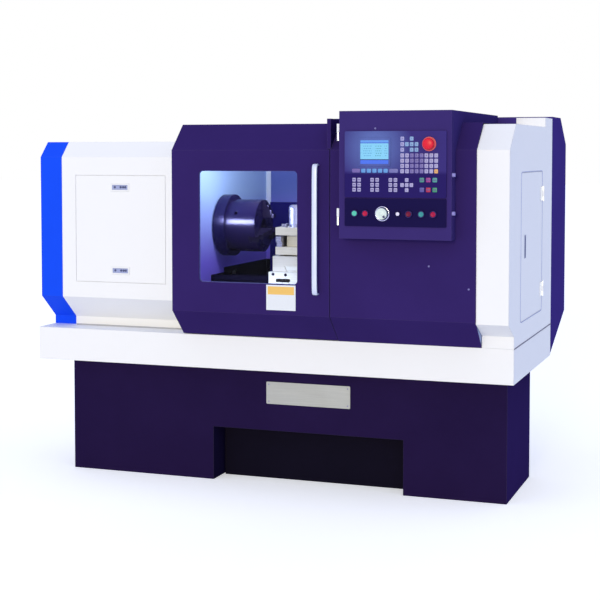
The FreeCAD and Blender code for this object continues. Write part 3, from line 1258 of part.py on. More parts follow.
def spindle_motor():
    """Square-bodied motor with end caps, terminal box, shaft and its upright mounting plate."""
    half = MOTOR_SIZE / 2
    plate_x = PULLEY_X + PULLEY_WIDTH + 20.0
    plate = box((plate_x, plate_x + MOTOR_MOUNT), (MOTOR_Y - half - 14.0, MOTOR_Y + half + 14.0),
        (TRAY_TOP, MOTOR_Z + half + 20.0))
    left = plate_x + MOTOR_MOUNT
    body = box((left, left + MOTOR_LENGTH), (MOTOR_Y - half, MOTOR_Y + half),
        (MOTOR_Z - half, MOTOR_Z + half))
    body = body.makeChamfer(MOTOR_BEVEL, [e for e in body.Edges if e.Length > MOTOR_LENGTH - 1])
    parts = [plate, body]
    flat, proud = half - MOTOR_BEVEL, half + FIN_HEIGHT
    for n in range(FIN_COUNT):
        fin = (left + TERMINAL_X + n * FIN_PITCH, left + TERMINAL_X + n * FIN_PITCH + FIN_THICKNESS)
        for wide, high in ((flat, proud), (proud, flat)):
            parts.append(box(fin, (MOTOR_Y - wide, MOTOR_Y + wide), (MOTOR_Z - high, MOTOR_Z + high)))
    parts.append(box((left + TERMINAL_X, left + TERMINAL_X + TERMINAL_LENGTH),
                     (MOTOR_Y - TERMINAL_WIDTH / 2, MOTOR_Y + TERMINAL_WIDTH / 2),
                     (MOTOR_Z + half, MOTOR_Z + half + TERMINAL_HEIGHT)))
    parts.append(rod("x", (MOTOR_Y, MOTOR_Z), MOTOR_SHAFT, (PULLEY_X - 8.0, plate_x)))
    parts.append(rod("x", (MOTOR_Y, MOTOR_Z), MOTOR_SHAFT + 8.0, (PULLEY_X - 8.0, motor_gap())))
    return joined(parts)


def belt_side(first, first_radius, second, second_radius, span):
    """The solid inside a belt that goes round two circles."""
    dy, dz = second[0] - first[0], second[1] - first[1]
    length = math.hypot(dy, dz)
    lean = math.atan2(dz, dy)
    wrap = math.acos((first_radius - second_radius) / length)
    corners = []
    for centre, radius, sign in ((first, first_radius, 1), (second, second_radius, 1),
                                 (second, second_radius, -1), (first, first_radius, -1)):
        angle = lean + sign * wrap
        corners.append((centre[0] + radius * math.cos(angle), centre[1] + radius * math.sin(angle)))
    strip = prism(corners, "x", span)
    return joined([strip, rod("x", first, first_radius, span), rod("x", second, second_radius, span)])


def drive_belt():
    gap = FIT + 0.1
    side = PULLEY_FLANGE + 3 * FIT
    span = (PULLEY_X + side, PULLEY_X + PULLEY_WIDTH - side)
    centres = ((AXIS_Y, AXIS_Z), (MOTOR_Y, MOTOR_Z))
    outer = belt_side(centres[0], PULLEY_RADIUS + gap + BELT_THICKNESS, centres[1],
                      MOTOR_PULLEY_RADIUS + gap + BELT_THICKNESS, span)
    wide = (span[0] - 1, span[1] + 1)
    inner = belt_side(centres[0], PULLEY_RADIUS + gap, centres[1], MOTOR_PULLEY_RADIUS + gap, wide)
    return outer.cut(inner)


# ------------------------------------------------------------------ chuck
def chuck_adapter():
    return ring("x", (AXIS_Y, AXIS_Z), ADAPTER_RADIUS, CHUCK_BORE, (ADAPTER_X, CHUCK_X))


def spun(shape, angle):
    """A shape turned about the spindle axis."""
    copy = shape.copy()
    copy.rotate(Vec(0, AXIS_Y, AXIS_Z), Vec(1, 0, 0), angle)
    return copy


def jaw_slot(grow, depth_gap):
    """Radial slot with a wider foot, drawn along +Z and spun to each jaw."""
    half, wide = SLOT_WIDTH / 2 - grow, TONGUE_WIDTH / 2 - grow
    low = CHUCK_FACE - SLOT_DEPTH + depth_gap
    neck = low + TONGUE_DEPTH
    return [(low, AXIS_Y - wide), (low, AXIS_Y + wide), (neck - 2 * depth_gap, AXIS_Y + wide),
            (neck - 2 * depth_gap, AXIS_Y + half), (CHUCK_FACE + 1, AXIS_Y + half), (CHUCK_FACE + 1,
                AXIS_Y - half),
            (neck - 2 * depth_gap, AXIS_Y - half), (neck - 2 * depth_gap, AXIS_Y - wide)]


def chuck_body():
    """Scroll chuck body: turned rim, three tee slots, key sockets and face bolts."""
    centre = (AXIS_Y, AXIS_Z)
    body = ring("x", centre, CHUCK_RADIUS, CHUCK_BORE, (CHUCK_X, CHUCK_FACE))
    slot = prism(jaw_slot(0, 0), "z", (AXIS_Z, AXIS_Z + CHUCK_RADIUS + 1))
    socket = box((CHUCK_X + 40.0, CHUCK_X + 54.0), (AXIS_Y - 7.0, AXIS_Y + 7.0),
                 (AXIS_Z + CHUCK_RADIUS - 24.0, AXIS_Z + CHUCK_RADIUS + 1))
    bolt = rod("x", (AXIS_Y, AXIS_Z + CHUCK_RADIUS * 0.8), 9.0, (CHUCK_FACE - 14.0, CHUCK_FACE + 1))
    for angle in JAW_ANGLES:
        body = body.cut(spun(slot, 90.0 - angle)).cut(spun(socket, 30.0 - angle)).cut(spun(bolt,
            30.0 - angle))
    return body


def chuck_jaw(angle):
    """Stepped hard jaw with side tongues."""
    foot = CHUCK_FACE - SLOT_DEPTH + FIT
    half = SLOT_WIDTH / 2 - FIT
    steps = [(AXIS_Z + JAW_INNER, foot), (AXIS_Z + JAW_OUTER, foot)]
    for radius, rise in JAW_STEPS:
        start = steps[-1][1]
        steps += [(AXIS_Z + radius, start), (AXIS_Z + radius, CHUCK_FACE + rise)]
    steps.append((AXIS_Z + JAW_INNER, CHUCK_FACE + JAW_STEPS[-1][1]))
    unique = [p for n, p in enumerate(steps) if n == 0 or p != steps[n - 1]]
    block = prism([(x, z) for z, x in unique], "y", (AXIS_Y - half, AXIS_Y + half))
    tongue = prism(jaw_slot(FIT, FIT)[:4] + jaw_slot(FIT, FIT)[6:], "z",
        (AXIS_Z + JAW_INNER, AXIS_Z + JAW_OUTER))
    return spun(joined([block, tongue]), 90.0 - angle)


# ------------------------------------------------------------------ carriage
def saddle():
    """Carriage across both ways: vee groove beneath, dovetail above, apron in front."""
    plate = box((SADDLE_X, SADDLE_X + SADDLE_LENGTH), (SADDLE_Y, SADDLE_BACK), (SADDLE_Z, SADDLE_TOP))
    mid = BED_FRONT + WAY_WIDTH / 2
    rise = VEE_HEIGHT + FIT
    groove = prism([(mid - rise - 1, WAY_Z - 1), (mid, WAY_Z + rise), (mid + rise + 1, WAY_Z - 1)], "x",
                   (SADDLE_X - 1, SADDLE_X + SADDLE_LENGTH + 1))
    foot, top = DOVETAIL_FOOT / 2, DOVETAIL_TOP / 2
    high = SADDLE_TOP + DOVETAIL_HEIGHT
    tail = prism([(SLIDE_MID - foot, SADDLE_TOP), (SLIDE_MID + foot, SADDLE_TOP), (SLIDE_MID + top, high),
                  (SLIDE_MID - top, high)], "y", (SLIDE_Y + 4.0, SADDLE_BACK))
    channel = box((SLIDE_MID - CROSS_CHANNEL / 2, SLIDE_MID + CROSS_CHANNEL / 2),
                  (SLIDE_Y + 30.0, SADDLE_BACK - 14.0), (CROSS_Z - 14.0, high + 1))
    bore = rod("y", (SLIDE_MID, CROSS_Z), CROSS_RADIUS + RUN, (SLIDE_Y + 10.0, SADDLE_BACK + 1))
    apron_y = SCREW_Y - APRON_DEPTH / 2
    apron = box((SADDLE_MID - APRON_LENGTH / 2, SADDLE_MID + APRON_LENGTH / 2),
        (apron_y, apron_y + APRON_DEPTH),
                (SADDLE_Z - APRON_DROP, SADDLE_Z))
    nut_hole = rod("x", (SCREW_Y, SCREW_Z), NUT_RADIUS, (SADDLE_X, SADDLE_X + SADDLE_LENGTH))
    return joined([plate.cut(groove), tail, apron]).cut(channel).cut(bore).cut(nut_hole)


def ball_nut():
    """Long ball nut in the apron, with its round flange."""
    centre = (SCREW_Y, SCREW_Z)
    left = SADDLE_MID - APRON_LENGTH / 2
    body = rod("x", centre, NUT_RADIUS, (left, left + APRON_LENGTH * 0.6))
    flange = rod("x", centre, NUT_FLANGE, (left - 12.0, left))
    return joined([body, flange]).cut(rod("x", centre, SCREW_RADIUS + RUN,
        (left - 13.0, left + APRON_LENGTH)))


def ball_screw():
    tail = END_WALL_X + SHEET + 6.0
    return rod("x", (SCREW_Y, SCREW_Z), SCREW_RADIUS, (SCREW_X, tail))


def screw_blocks():
    """Bearing blocks of the long screw, bolted to the front of the bed."""
    parts = []
    for x in (SCREW_X + 6.0, BED_RIGHT - SCREW_BLOCK):
        block = box((x, x + SCREW_BLOCK), (SCREW_Y - 32.0, BED_FRONT),
            (SCREW_Z - 32.0, WAY_Z - WAY_DEPTH / 4))
        parts.append(block.cut(rod("x", (SCREW_Y, SCREW_Z), SCREW_RADIUS + RUN,
            (x - 1, x + SCREW_BLOCK + 1))))
    return parts


def long_servo():
    """Servo motor of the long screw, on the inner wall inside the end guard."""
    left = END_WALL_X + SHEET
    half = SERVO_SIZE / 2
    body = box((left + 12.0, left + 12.0 + SERVO_LENGTH - 26.0),
        (SCREW_Y - half + 8.0, SCREW_Y + half - 8.0),
               (SCREW_Z - half + 8.0, SCREW_Z + half - 8.0))
    flange = box((left, left + 12.0), (SCREW_Y - half, SCREW_Y + half), (SCREW_Z - half, SCREW_Z + half))
    socket = rod("x", (SCREW_Y, SCREW_Z), SCREW_RADIUS + RUN, (left - 1, left + 7.0))
    return joined([body, flange]).cut(socket)


def cross_slide():
    """Cross slide with the female dovetail underneath."""
    z = (SADDLE_TOP + FIT, SLIDE_TOP)
    block = box((SLIDE_X, SLIDE_X + SLIDE_LENGTH), (SLIDE_Y, SLIDE_Y + SLIDE_DEPTH), z)
    foot, top = DOVETAIL_FOOT / 2 + 1.2 * FIT, DOVETAIL_TOP / 2 + 1.2 * FIT
    high = SADDLE_TOP + DOVETAIL_HEIGHT + FIT
    groove = prism([(SLIDE_MID - foot, SADDLE_TOP), (SLIDE_MID + foot, SADDLE_TOP),
        (SLIDE_MID + top, high),
                    (SLIDE_MID - top, high)], "y", (SLIDE_Y - 1, SLIDE_Y + SLIDE_DEPTH + 1))
    return block.cut(groove)


def cross_nut():
    """Nut block under the cross slide."""
    high = SADDLE_TOP + DOVETAIL_HEIGHT + FIT
    middle = SLIDE_Y + SLIDE_DEPTH / 2
    block = box((SLIDE_MID - 14.0, SLIDE_MID + 14.0), (middle - 30.0, middle + 30.0),
        (CROSS_Z - 12.0, high))
    return block.cut(rod("y", (SLIDE_MID, CROSS_Z), CROSS_RADIUS + RUN, (middle - 31.0, middle + 31.0)))


def cross_screw():
    return rod("y", (SLIDE_MID, CROSS_Z), CROSS_RADIUS, (SLIDE_Y + 11.0, SADDLE_BACK + SERVO_PLATE + 5.0))


def cross_servo():
    """Servo motor of the cross screw with its plate on the saddle's rear face."""
    half = SERVO_SIZE / 2
    y = SADDLE_BACK
    plate = box((SLIDE_MID - half - 10.0, SLIDE_MID + half + 10.0), (y, y + SERVO_PLATE),
        (SADDLE_Z + 6.0, CROSS_Z + half))
    body = box((SLIDE_MID - half, SLIDE_MID + half), (y + SERVO_PLATE,
        y + SERVO_PLATE + SERVO_LENGTH), (CROSS_Z - half + 4.0, CROSS_Z + half))
    socket = rod("y", (SLIDE_MID, CROSS_Z), CROSS_RADIUS + RUN, (y - 1, y + SERVO_PLATE + 6.0))
    return joined([plate, body]).cut(socket)


def post_spacer():
    return rod("z", (POST_AXIS_X, POST_AXIS_Y), POST_CORE / 2, (SLIDE_TOP, SLIDE_TOP + POST_SPACER))


def post_square(side, z):
    half = side / 2
    return box((POST_AXIS_X - half, POST_AXIS_X + half), (POST_AXIS_Y - half, POST_AXIS_Y + half), z)


def tool_post():
    """Four-way tool post: two square plates on a core, which leave a tool slot all round."""
    low = post_square(POST_SIZE, (POST_Z, POST_Z + POST_PLATE))
    core = post_square(POST_CORE, (POST_Z + POST_PLATE, POST_TOP - POST_PLATE))
    high = post_square(POST_SIZE, (POST_TOP - POST_PLATE, POST_TOP))
    return joined([low, core, high])


def post_bolts():
    """Clamp bolts that pass through the top plate, three along each side."""
    parts = []
    offset = (POST_SIZE + POST_CORE) / 4
    for side in range(4):
        turn = math.radians(90.0 * side)
        for step in (-1, 0, 1):
            along, out = step * POST_SIZE * 0.27, offset
            x = POST_AXIS_X + out * math.cos(turn) - along * math.sin(turn)
            y = POST_AXIS_Y + out * math.sin(turn) + along * math.cos(turn)
            corners = []
            for n in range(6):
                angle = math.radians(60.0 * n)
                corners.append((x + POST_BOLT * math.cos(angle), y + POST_BOLT * math.sin(angle)))
            parts.append(prism(corners, "z", (POST_TOP, POST_TOP + POST_BOLT_RISE)))
    return parts


def turret_cap():
    """Dark motor cap on top of the tool post."""
    cap = rod("z", (POST_AXIS_X, POST_AXIS_Y), CAP_RADIUS, (POST_TOP, POST_TOP + CAP_HEIGHT))
    return cap.makeChamfer(9.0, [e for e in cap.Edges if abs(e.CenterOfMass.z - cap.BoundBox.ZMax) < 0.1])


def cranked_tool(seat):
    """A tool along +Y from its seat corner: packing strip, shank, and a raised nose at centre height."""
    x, y = seat
    low = POST_Z + POST_PLATE
    packing = box((x, x + TOOL_SIZE), (y, y + POST_SIZE - 6.0), (low, low + TOOL_PACKING))
    shank = box((x, x + TOOL_SIZE), (y - 12.0, y + POST_SIZE),
        (low + TOOL_PACKING, low + TOOL_PACKING + TOOL_SIZE))
    tip = y + POST_SIZE + TOOL_OVERHANG
    nose = prism([(y + POST_SIZE, low + TOOL_PACKING), (y + POST_SIZE, AXIS_Z), (tip, AXIS_Z),
                  (tip - 6.0, low + TOOL_PACKING + TOOL_SIZE), (tip - 20.0,
                      low + TOOL_PACKING)], "x", (x, x + TOOL_SIZE))
    trim = prism([(x + 8.0, tip + 1), (x + TOOL_SIZE + 1, tip - 14.0), (x + TOOL_SIZE + 1, tip + 1)],
        "z", (low, AXIS_Z + 1))
    return joined([packing, shank, nose.cut(trim)])


def cutting_tools():
    """One tool at the left of the post that cuts towards the rear, and one parked at its right."""
    inset_x = POST_SIZE / 2 - 6.0
    first = cranked_tool((POST_AXIS_X - inset_x, POST_AXIS_Y - POST_SIZE / 2))
    second = first.copy()
    second.rotate(Vec(POST_AXIS_X, POST_AXIS_Y, 0), Vec(0, 0, 1), 180)
    return [first, second]


# ------------------------------------------------------------------ tailstock
def tailstock():
    """Tailstock casting: base on both ways, neck and round barrel for the quill."""
    centre = (AXIS_Y, AXIS_Z)
    x = (TAIL_X, TAIL_RIGHT)
    base = box(x, (BED_FRONT, BED_BACK), (SADDLE_Z, SADDLE_Z + TAIL_BASE))
    mid = BED_FRONT + WAY_WIDTH / 2
    rise = VEE_HEIGHT + FIT
    groove = prism([(mid - rise - 1, WAY_Z - 1), (mid, WAY_Z + rise), (mid + rise + 1, WAY_Z - 1)], "x",
                   (TAIL_X - 1, TAIL_RIGHT + 1))
    shoulder = SADDLE_Z + TAIL_BASE
    neck = prism([(AXIS_Y - TAIL_NECK, shoulder), (AXIS_Y + TAIL_NECK, shoulder),
                  (AXIS_Y + TAIL_BARREL, AXIS_Z), (AXIS_Y - TAIL_BARREL, AXIS_Z)], "x", x)
    barrel = rod("x", centre, TAIL_BARREL, x)
    bore = rod("x", centre, QUILL_RADIUS + RUN, (TAIL_X - 1, TAIL_RIGHT + 1))
    return joined([base.cut(groove), neck, barrel]).cut(bore)


def tail_cylinder():
    """Hydraulic cylinder on the back of the tailstock that drives the quill."""
    centre = (AXIS_Y, AXIS_Z)
    cup = rod("x", centre, TAIL_BARREL - 8.0, (TAIL_RIGHT, TAIL_RIGHT + 40.0))
    room = rod("x", centre, QUILL_RADIUS + 3.0, (TAIL_RIGHT - 1, TAIL_RIGHT + 30.0))
    return cup.cut(room)


def quill():
    centre = (AXIS_Y, AXIS_Z)
    span = (QUILL_X, QUILL_X + QUILL_LENGTH)
    return rod("x", centre, QUILL_RADIUS, span).cut(rod("x", centre, CENTRE_STEM + RUN,
        (QUILL_X - 1, QUILL_X + 60.0)))


def live_centre():
    """Running centre: stem, round body and sixty-degree point."""
    points = [(QUILL_X + 55.0, 0.0), (QUILL_X + 55.0, CENTRE_STEM), (QUILL_X - FIT, CENTRE_STEM),
              (QUILL_X - FIT, CENTRE_RADIUS), (QUILL_X - CENTRE_BODY, CENTRE_RADIUS),
              (QUILL_X - CENTRE_BODY, CENTRE_TIP * 0.577), (QUILL_X - CENTRE_BODY - CENTRE_TIP, 0.0)]
    corners = [Vec(x, AXIS_Y, AXIS_Z + r) for x, r in points]
    face = Part.Face(Part.makePolygon(corners + [corners[0]]))
    return face.revolve(Vec(0, AXIS_Y, AXIS_Z), Vec(1, 0, 0), 360)


# ------------------------------------------------------------------ the whole machine
def guards():
    """Tray, fixed covers, cabinet and control box."""
    return {
        "base_stand": base_stand(),
        "coolant_tank": coolant_tank(),
        "machine_plate": machine_plate(),
        "chip_tray": chip_tray(),
        "headstock_cover": joined([headstock_cover(), door_jamb()]),
        "end_cover": end_cover(),
        "work_space_walls": joined([bulkhead(), rear_wall(), end_wall()]),
        "rear_splash": rear_splash(),
        "door_rails": group([door_lower_rail(), door_top_rail()]),
        "front_cover": front_cover(),
        "end_guard": joined([end_guard(), rear_column()]),
        "cabinet": joined([cabinet(), rear_beam()]),
        "control_box": control_box(),
        "fixed_hinges": group(side_hinges(False) + cabinet_hinge_pins() + box_hinge_pins()),
        "electrics": electrics(),
    }


def doors():
    """Everything that slides, swings or lifts on the guards."""
    return {
        "door_panel": door_panel(),
        "door_glass": door_glass(),
        "window_gasket": window_gasket(),
        "door_handle": door_handle(),
        "door_label": door_label(),
        "access_panel": joined([access_panel()] + [latch_dish(z) for z in latch_heights()]),
        "lower_latch": latch_paddle(latch_heights()[0]),
        "upper_latch": latch_paddle(latch_heights()[1]),
        "side_door": joined([side_door()] + side_hinges(True)),
        "side_door_pull": side_door_pull(),
        "cabinet_door": joined([cabinet_door()] + cabinet_hinge_caps()),
        "cabinet_latch": cabinet_latch(),
    }


def controls():
    """The control box door with its keys, buttons and handwheel."""
    nodes = {
        "box_door": joined([box_door(), unit_back()] + box_hinge_caps() + box_latches()),
        "keypad_unit": keypad_unit(),
        "screen": screen(),
        "keypad_keys": group(keypad()),
        "button_panel": joined([button_panel(), pulse_ring()] + button_rings()),
        "estop_ring": estop_ring(),
        "estop_button": estop_button(),
        "pulse_wheel": pulse_wheel(),
    }
    for name, x in BUTTON_XS.items():
        nodes[name] = push_button(x)
    return nodes


def mechanism():
    """Bed, headstock, chuck, carriage, tool post and tailstock."""
    nodes = {
        "bed": joined([bed()] + screw_blocks()),
        "headstock": joined([headstock()] + spindle_bearings()),
        "drive_motors": group([spindle_motor(), long_servo()]),
        "drive_belt": drive_belt(),
        "spindle": joined([spindle(), spindle_pulley(), chuck_adapter()]),
        "motor_pulley": motor_pulley(),
        "chuck_body": chuck_body(),
        "saddle": joined([saddle(), ball_nut(), cross_servo()]),
        "ball_screw": ball_screw(),
        "cross_slide": joined([cross_slide(), cross_nut(), post_spacer()]),
        "cross_screw": cross_screw(),
        "tool_post": tool_post(),
        "turning_tools": group(cutting_tools() + post_bolts()),
        "turret_cap": turret_cap(),
        "tailstock": joined([tailstock(), tail_cylinder()]),
        "quill": quill(),
        "live_centre": live_centre(),
    }
    for name, angle in zip(("chuck_jaw_1", "chuck_jaw_2", "chuck_jaw_3"), JAW_ANGLES):
        nodes[name] = chuck_jaw(angle)
    return nodes


os.makedirs("parts", exist_ok=True)
for nodes in (guards(), doors(), controls(), mechanism()):
    for name, shape in nodes.items():
        shape.translate(ORIGIN)
        shape.exportStep(os.path.join("parts", name + ".step"))
        print(name, shape.isValid(), len(shape.Solids), round(shape.Volume / 1e6, 3))
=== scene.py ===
"""Finish and fine detail of a guarded flat-bed turning lathe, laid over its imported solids."""
import math

import bmesh
import bpy
import numpy as np
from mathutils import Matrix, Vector


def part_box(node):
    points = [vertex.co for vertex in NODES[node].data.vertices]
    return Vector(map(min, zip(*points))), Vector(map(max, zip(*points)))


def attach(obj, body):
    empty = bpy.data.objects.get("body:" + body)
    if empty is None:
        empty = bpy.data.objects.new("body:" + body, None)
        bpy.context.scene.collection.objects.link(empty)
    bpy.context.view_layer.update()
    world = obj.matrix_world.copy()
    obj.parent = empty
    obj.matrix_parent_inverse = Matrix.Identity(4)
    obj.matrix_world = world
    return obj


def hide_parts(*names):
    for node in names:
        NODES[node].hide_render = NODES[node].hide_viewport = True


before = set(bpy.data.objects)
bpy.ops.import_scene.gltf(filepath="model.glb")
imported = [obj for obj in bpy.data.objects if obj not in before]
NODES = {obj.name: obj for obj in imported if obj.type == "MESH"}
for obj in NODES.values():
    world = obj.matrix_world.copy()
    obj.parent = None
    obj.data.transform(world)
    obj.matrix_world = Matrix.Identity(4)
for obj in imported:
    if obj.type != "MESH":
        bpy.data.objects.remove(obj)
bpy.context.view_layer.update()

bl_info = {
    "name": "Guarded Turning Lathe",
    "version": (1, 0, 0),
    "blender": (4, 5, 0),
    "location": "View3D > Sidebar > Lathe",
    "description": "Paints a guarded turning lathe and adds its keys, screws, screen and fittings",
    "category": "Object",
}

MM = 0.001
OPEN = (None, None)              # a span without limits
PLATING_AND_STRIP_REFLECTION = (0.97, 0.98, 1.0)       # pale plating and white faces, and the work space's strip painted pale as a painted reflection
TANK_PAINT_AND_RECESS_SHADE = (0.075, 0.065, 0.13)    # coolant tank's own paint, also laid as painted shade in the stand's hollow round it
MATT = (0.48, 0.0, 0.06)         # roughness, mirror share and unevenness of the purple paint
BEVEL_SAMPLES = 4


# ---- settings
def paint(name, description, default):
    """A colour setting, held as it looks on screen."""
    return bpy.props.FloatVectorProperty(name=name, description=description, default=default, size=3,
                                         min=0.0, max=1.0, subtype="COLOR_GAMMA")


def length(name, description, default):
    """A length setting in metres."""
    return bpy.props.FloatProperty(name=name, description=description, default=default, min=0.0,
                                   subtype="DISTANCE", unit="LENGTH", precision=4)


def amount(name, description, default, low=0.0, high=1.0, subtype="NONE"):
    """A plain number between two limits."""
    return bpy.props.FloatProperty(name=name, description=description, default=default, min=low, max=high,
                                   subtype=subtype)


def angle(name, description, degrees):
    """An angle setting, given in degrees."""
    return bpy.props.FloatProperty(name=name, description=description, default=math.radians(degrees),
                                   subtype="ANGLE", unit="ROTATION")


class LatheFinish(bpy.types.PropertyGroup):
    """Colours of paint, metal and plastic."""
    white: paint("White paint", "Headstock guard, tray and end guard", (0.955, 0.96, 0.98))
    purple: paint("Purple paint", "Door and fixed guard", (0.205, 0.148, 0.395))
    box_purple: paint("Control box paint", "Control box and its door", (0.235, 0.185, 0.440))
    cabinet: paint("Cabinet paint", "Rear electrical cabinet", (0.255, 0.200, 0.505))
    stand: paint("Stand paint", "Base stand", (0.138, 0.094, 0.246))
    blue: paint("Blue paint", "Left end cover", (0.09, 0.31, 0.97))
    inner: paint("Inner paint", "Walls of the work space", (0.735, 0.84, 1.0))
    splash: paint("Splash guard paint", "Folded sheet along the rear wall", (0.125, 0.105, 0.42))
    casting: paint("Casting paint", "Bed, headstock and tailstock", (0.09, 0.08, 0.18))
    ground: paint("Ground steel", "Saddle", (0.97, 0.98, 0.98))
    post: paint("Tool post steel", "Four-way tool post", (0.93, 0.91, 0.86))
    turned: paint("Turned steel", "Chuck, spindle and live centre", (0.145, 0.108, 0.315))
    blued: paint("Blued steel", "Jaws and motor pulley", (0.16, 0.13, 0.28))
    panel: paint("Unit front", "Upper field of the control unit", (0.230, 0.190, 0.480))
    panel_low: paint("Unit lower field", "Lower field of the control unit", (0.150, 0.105, 0.385))
    button_plate: paint("Button plate", "Plate under the push buttons", (0.092, 0.066, 0.272))
    key: paint("Key plastic", "Plain keys", (0.66, 0.64, 0.83))
    display: paint("Display", "Lit screen", (0.445, 0.70, 0.83))
    label: paint("Label band", "Upper band of the plate on the door", (0.94, 0.76, 0.40))


class LatheTrim(bpy.types.PropertyGroup):
    """Sizes of the fine detail."""
    fold: length("Fold radius", "Softness of the bent sheet edges", 0.0035)
    key_lift: length("Key height", "How far a key stands out of the panel", 0.0026)
    screw: length("Screw radius", "Radius of the cover screws' heads", 0.0045)
    bolt: length("Bolt radius", "Radius of the chuck's socket heads", 0.0085)
    peel: length("Orange peel", "Depth of the ripple in the paint", 0.00010)


class LatheStage(bpy.types.PropertyGroup):
    """Floor, light and camera."""
    floor: paint("Floor", "Colour of the floor", (0.965, 0.965, 0.965))
    sky: amount("Ambient light", "Strength of the even light from all round", 0.91, subtype="FACTOR")
    sun: amount("Key light", "Strength of the soft light from the front", 1.34, high=10.0)
    bay: amount("Work space light", "Power of the lamp behind the door in watts", 2.4, high=100.0)
    lens: amount("Lens", "Focal length for a 36 mm sensor", 81.812, 10.0, 400.0)
    eye: bpy.props.FloatVectorProperty(name="Camera place", description="Where the camera stands", size=3,
                                       default=(2.17657, -6.14681, 1.48413), subtype="XYZ", unit="LENGTH")
    turn: angle("Camera turn", "Turn to the left of straight ahead", 19.739)
    dip: angle("Camera dip", "Tilt below the horizon", 2.991)


# ---- colour and node helpers
def rgba(colour, scale=1.0):
    """A screen colour as light: each channel c becomes c/12.92 or ((c+0.055)/1.055) to the power 2.4."""
    light = (c / 12.92 if c <= 0.04045 else ((c + 0.055) / 1.055) ** 2.4 for c in colour)
    return tuple(min(1.0, c * scale) for c in light) + (1.0,)


class Sheet:
    """The node tree of a material, or of a world, under construction."""

    def __init__(self, name, world=None):
        self.owner = world or bpy.data.materials.new(name)
        self.owner.use_nodes = True
        self.tree = self.owner.node_tree
        self.tree.nodes.clear()
        self.out = self.add("OutputWorld" if world else "OutputMaterial")
        self.place = None

    def add(self, kind, *values, **settings):
        """A node.  Values go on its sockets in order, a setting on the property or the socket it names."""
        node = self.tree.nodes.new("ShaderNode" + kind)
        for key, value in settings.items():
            if hasattr(node, key):
                setattr(node, key, value)
            else:
                self.feed(node.inputs[key.replace("_", " ")], value)
        for socket, value in enumerate(values):
            self.feed(node.inputs[socket], value)
        return node

    def feed(self, socket, value):
        """Joins another node's socket to a socket, or puts a plain value straight on it."""
        if isinstance(value, bpy.types.NodeSocket):
            self.tree.links.new(value, socket)
        elif value is not None:
            socket.default_value = value

    def end(self, shader):
        """Ends the tree in a shader and gives back what the tree belongs to."""
        self.feed(self.out.inputs["Surface"], shader.outputs[0])
        return self.owner

    def coordinates(self, scale=(1.0, 1.0, 1.0), shift=(0.0, 0.0, 0.0)):
        """Object coordinates through a Mapping node."""
        if self.place is None:
            self.place = self.add("TexCoord").outputs["Object"]
        return self.add("Mapping", Vector=self.place, Scale=scale, Location=shift).outputs["Vector"]

    def split(self, vector):
        """The three parts of a vector."""
        return self.add("SeparateXYZ", vector).outputs

    def noise(self, vector, scale, detail=2.0, rough=0.5):
        return self.add("TexNoise", Vector=vector, Scale=scale, Detail=detail, Roughness=rough).outputs["Fac"]

    def spread(self, value, low, high, start=0.3, end=0.7):
        """Maps a value between start and end on to low to high."""
        node = self.add("MapRange", Value=value, From_Min=start, From_Max=end, To_Min=low, To_Max=high)
        return node.outputs["Result"]

    def blend(self, factor, first, second):
        """Mixes two colours by a factor."""
        node = self.add("Mix", data_type="RGBA")
        for socket, value in ((0, factor), (6, first), (7, second)):
            self.feed(node.inputs[socket], value)
        return node.outputs[2]

    def shaded(self, value, colour, low, high):
        """A colour at low to high times its light, as a noise goes from its low to its high values."""
        return self.blend(self.spread(value, 0.0, 1.0), rgba(colour, low), rgba(colour, high))

    def cover(self, factor, under, upper):
        """Lays one shader over another by a factor."""
        return self.add("MixShader", factor, under.outputs[0], upper.outputs[0])

    def maths(self, operation, *values):
        return self.add("Math", *values, operation=operation).outputs[0]

    def inside(self, split, spans):
        """One where a place lies within the spans of x, y and z, else nought; a limit of None is open."""
        found = None
        for part, span in zip(split, spans):
            for test, limit in zip(("GREATER_THAN", "LESS_THAN"), span):
                if limit is not None:
                    side = self.maths(test, part, limit)
                    found = side if found is None else self.maths("MULTIPLY", found, side)
        return found

    def direct(self):
        """One for a ray from the eye, off a mirror or through glass, else nought."""
        path = self.add("LightPath").outputs
        mirrored = self.maths("MAXIMUM", path["Is Glossy Ray"], path["Is Transmission Ray"])
        return self.maths("MAXIMUM", path["Is Camera Ray"], mirrored)

    def softened(self, radius):
        """The normal with edges rounded by a radius."""
        return self.add("Bevel", samples=BEVEL_SAMPLES, Radius=radius).outputs["Normal"]

    def relief(self, height, depth, strength, normal=None):
        """A bump normal of that depth in metres over another normal."""
        bump = self.add("Bump", Height=height, Distance=depth, Strength=strength, Normal=normal)
        return bump.outputs["Normal"]

    def surface(self, colour, roughness, normal=None, specular=0.5, **more):
        """Ends the tree in a Principled shader; more names other sockets of it."""
        return self.end(self.add("BsdfPrincipled", Base_Color=colour, Roughness=roughness, Normal=normal,
                                 Specular_IOR_Level=specular, **more))


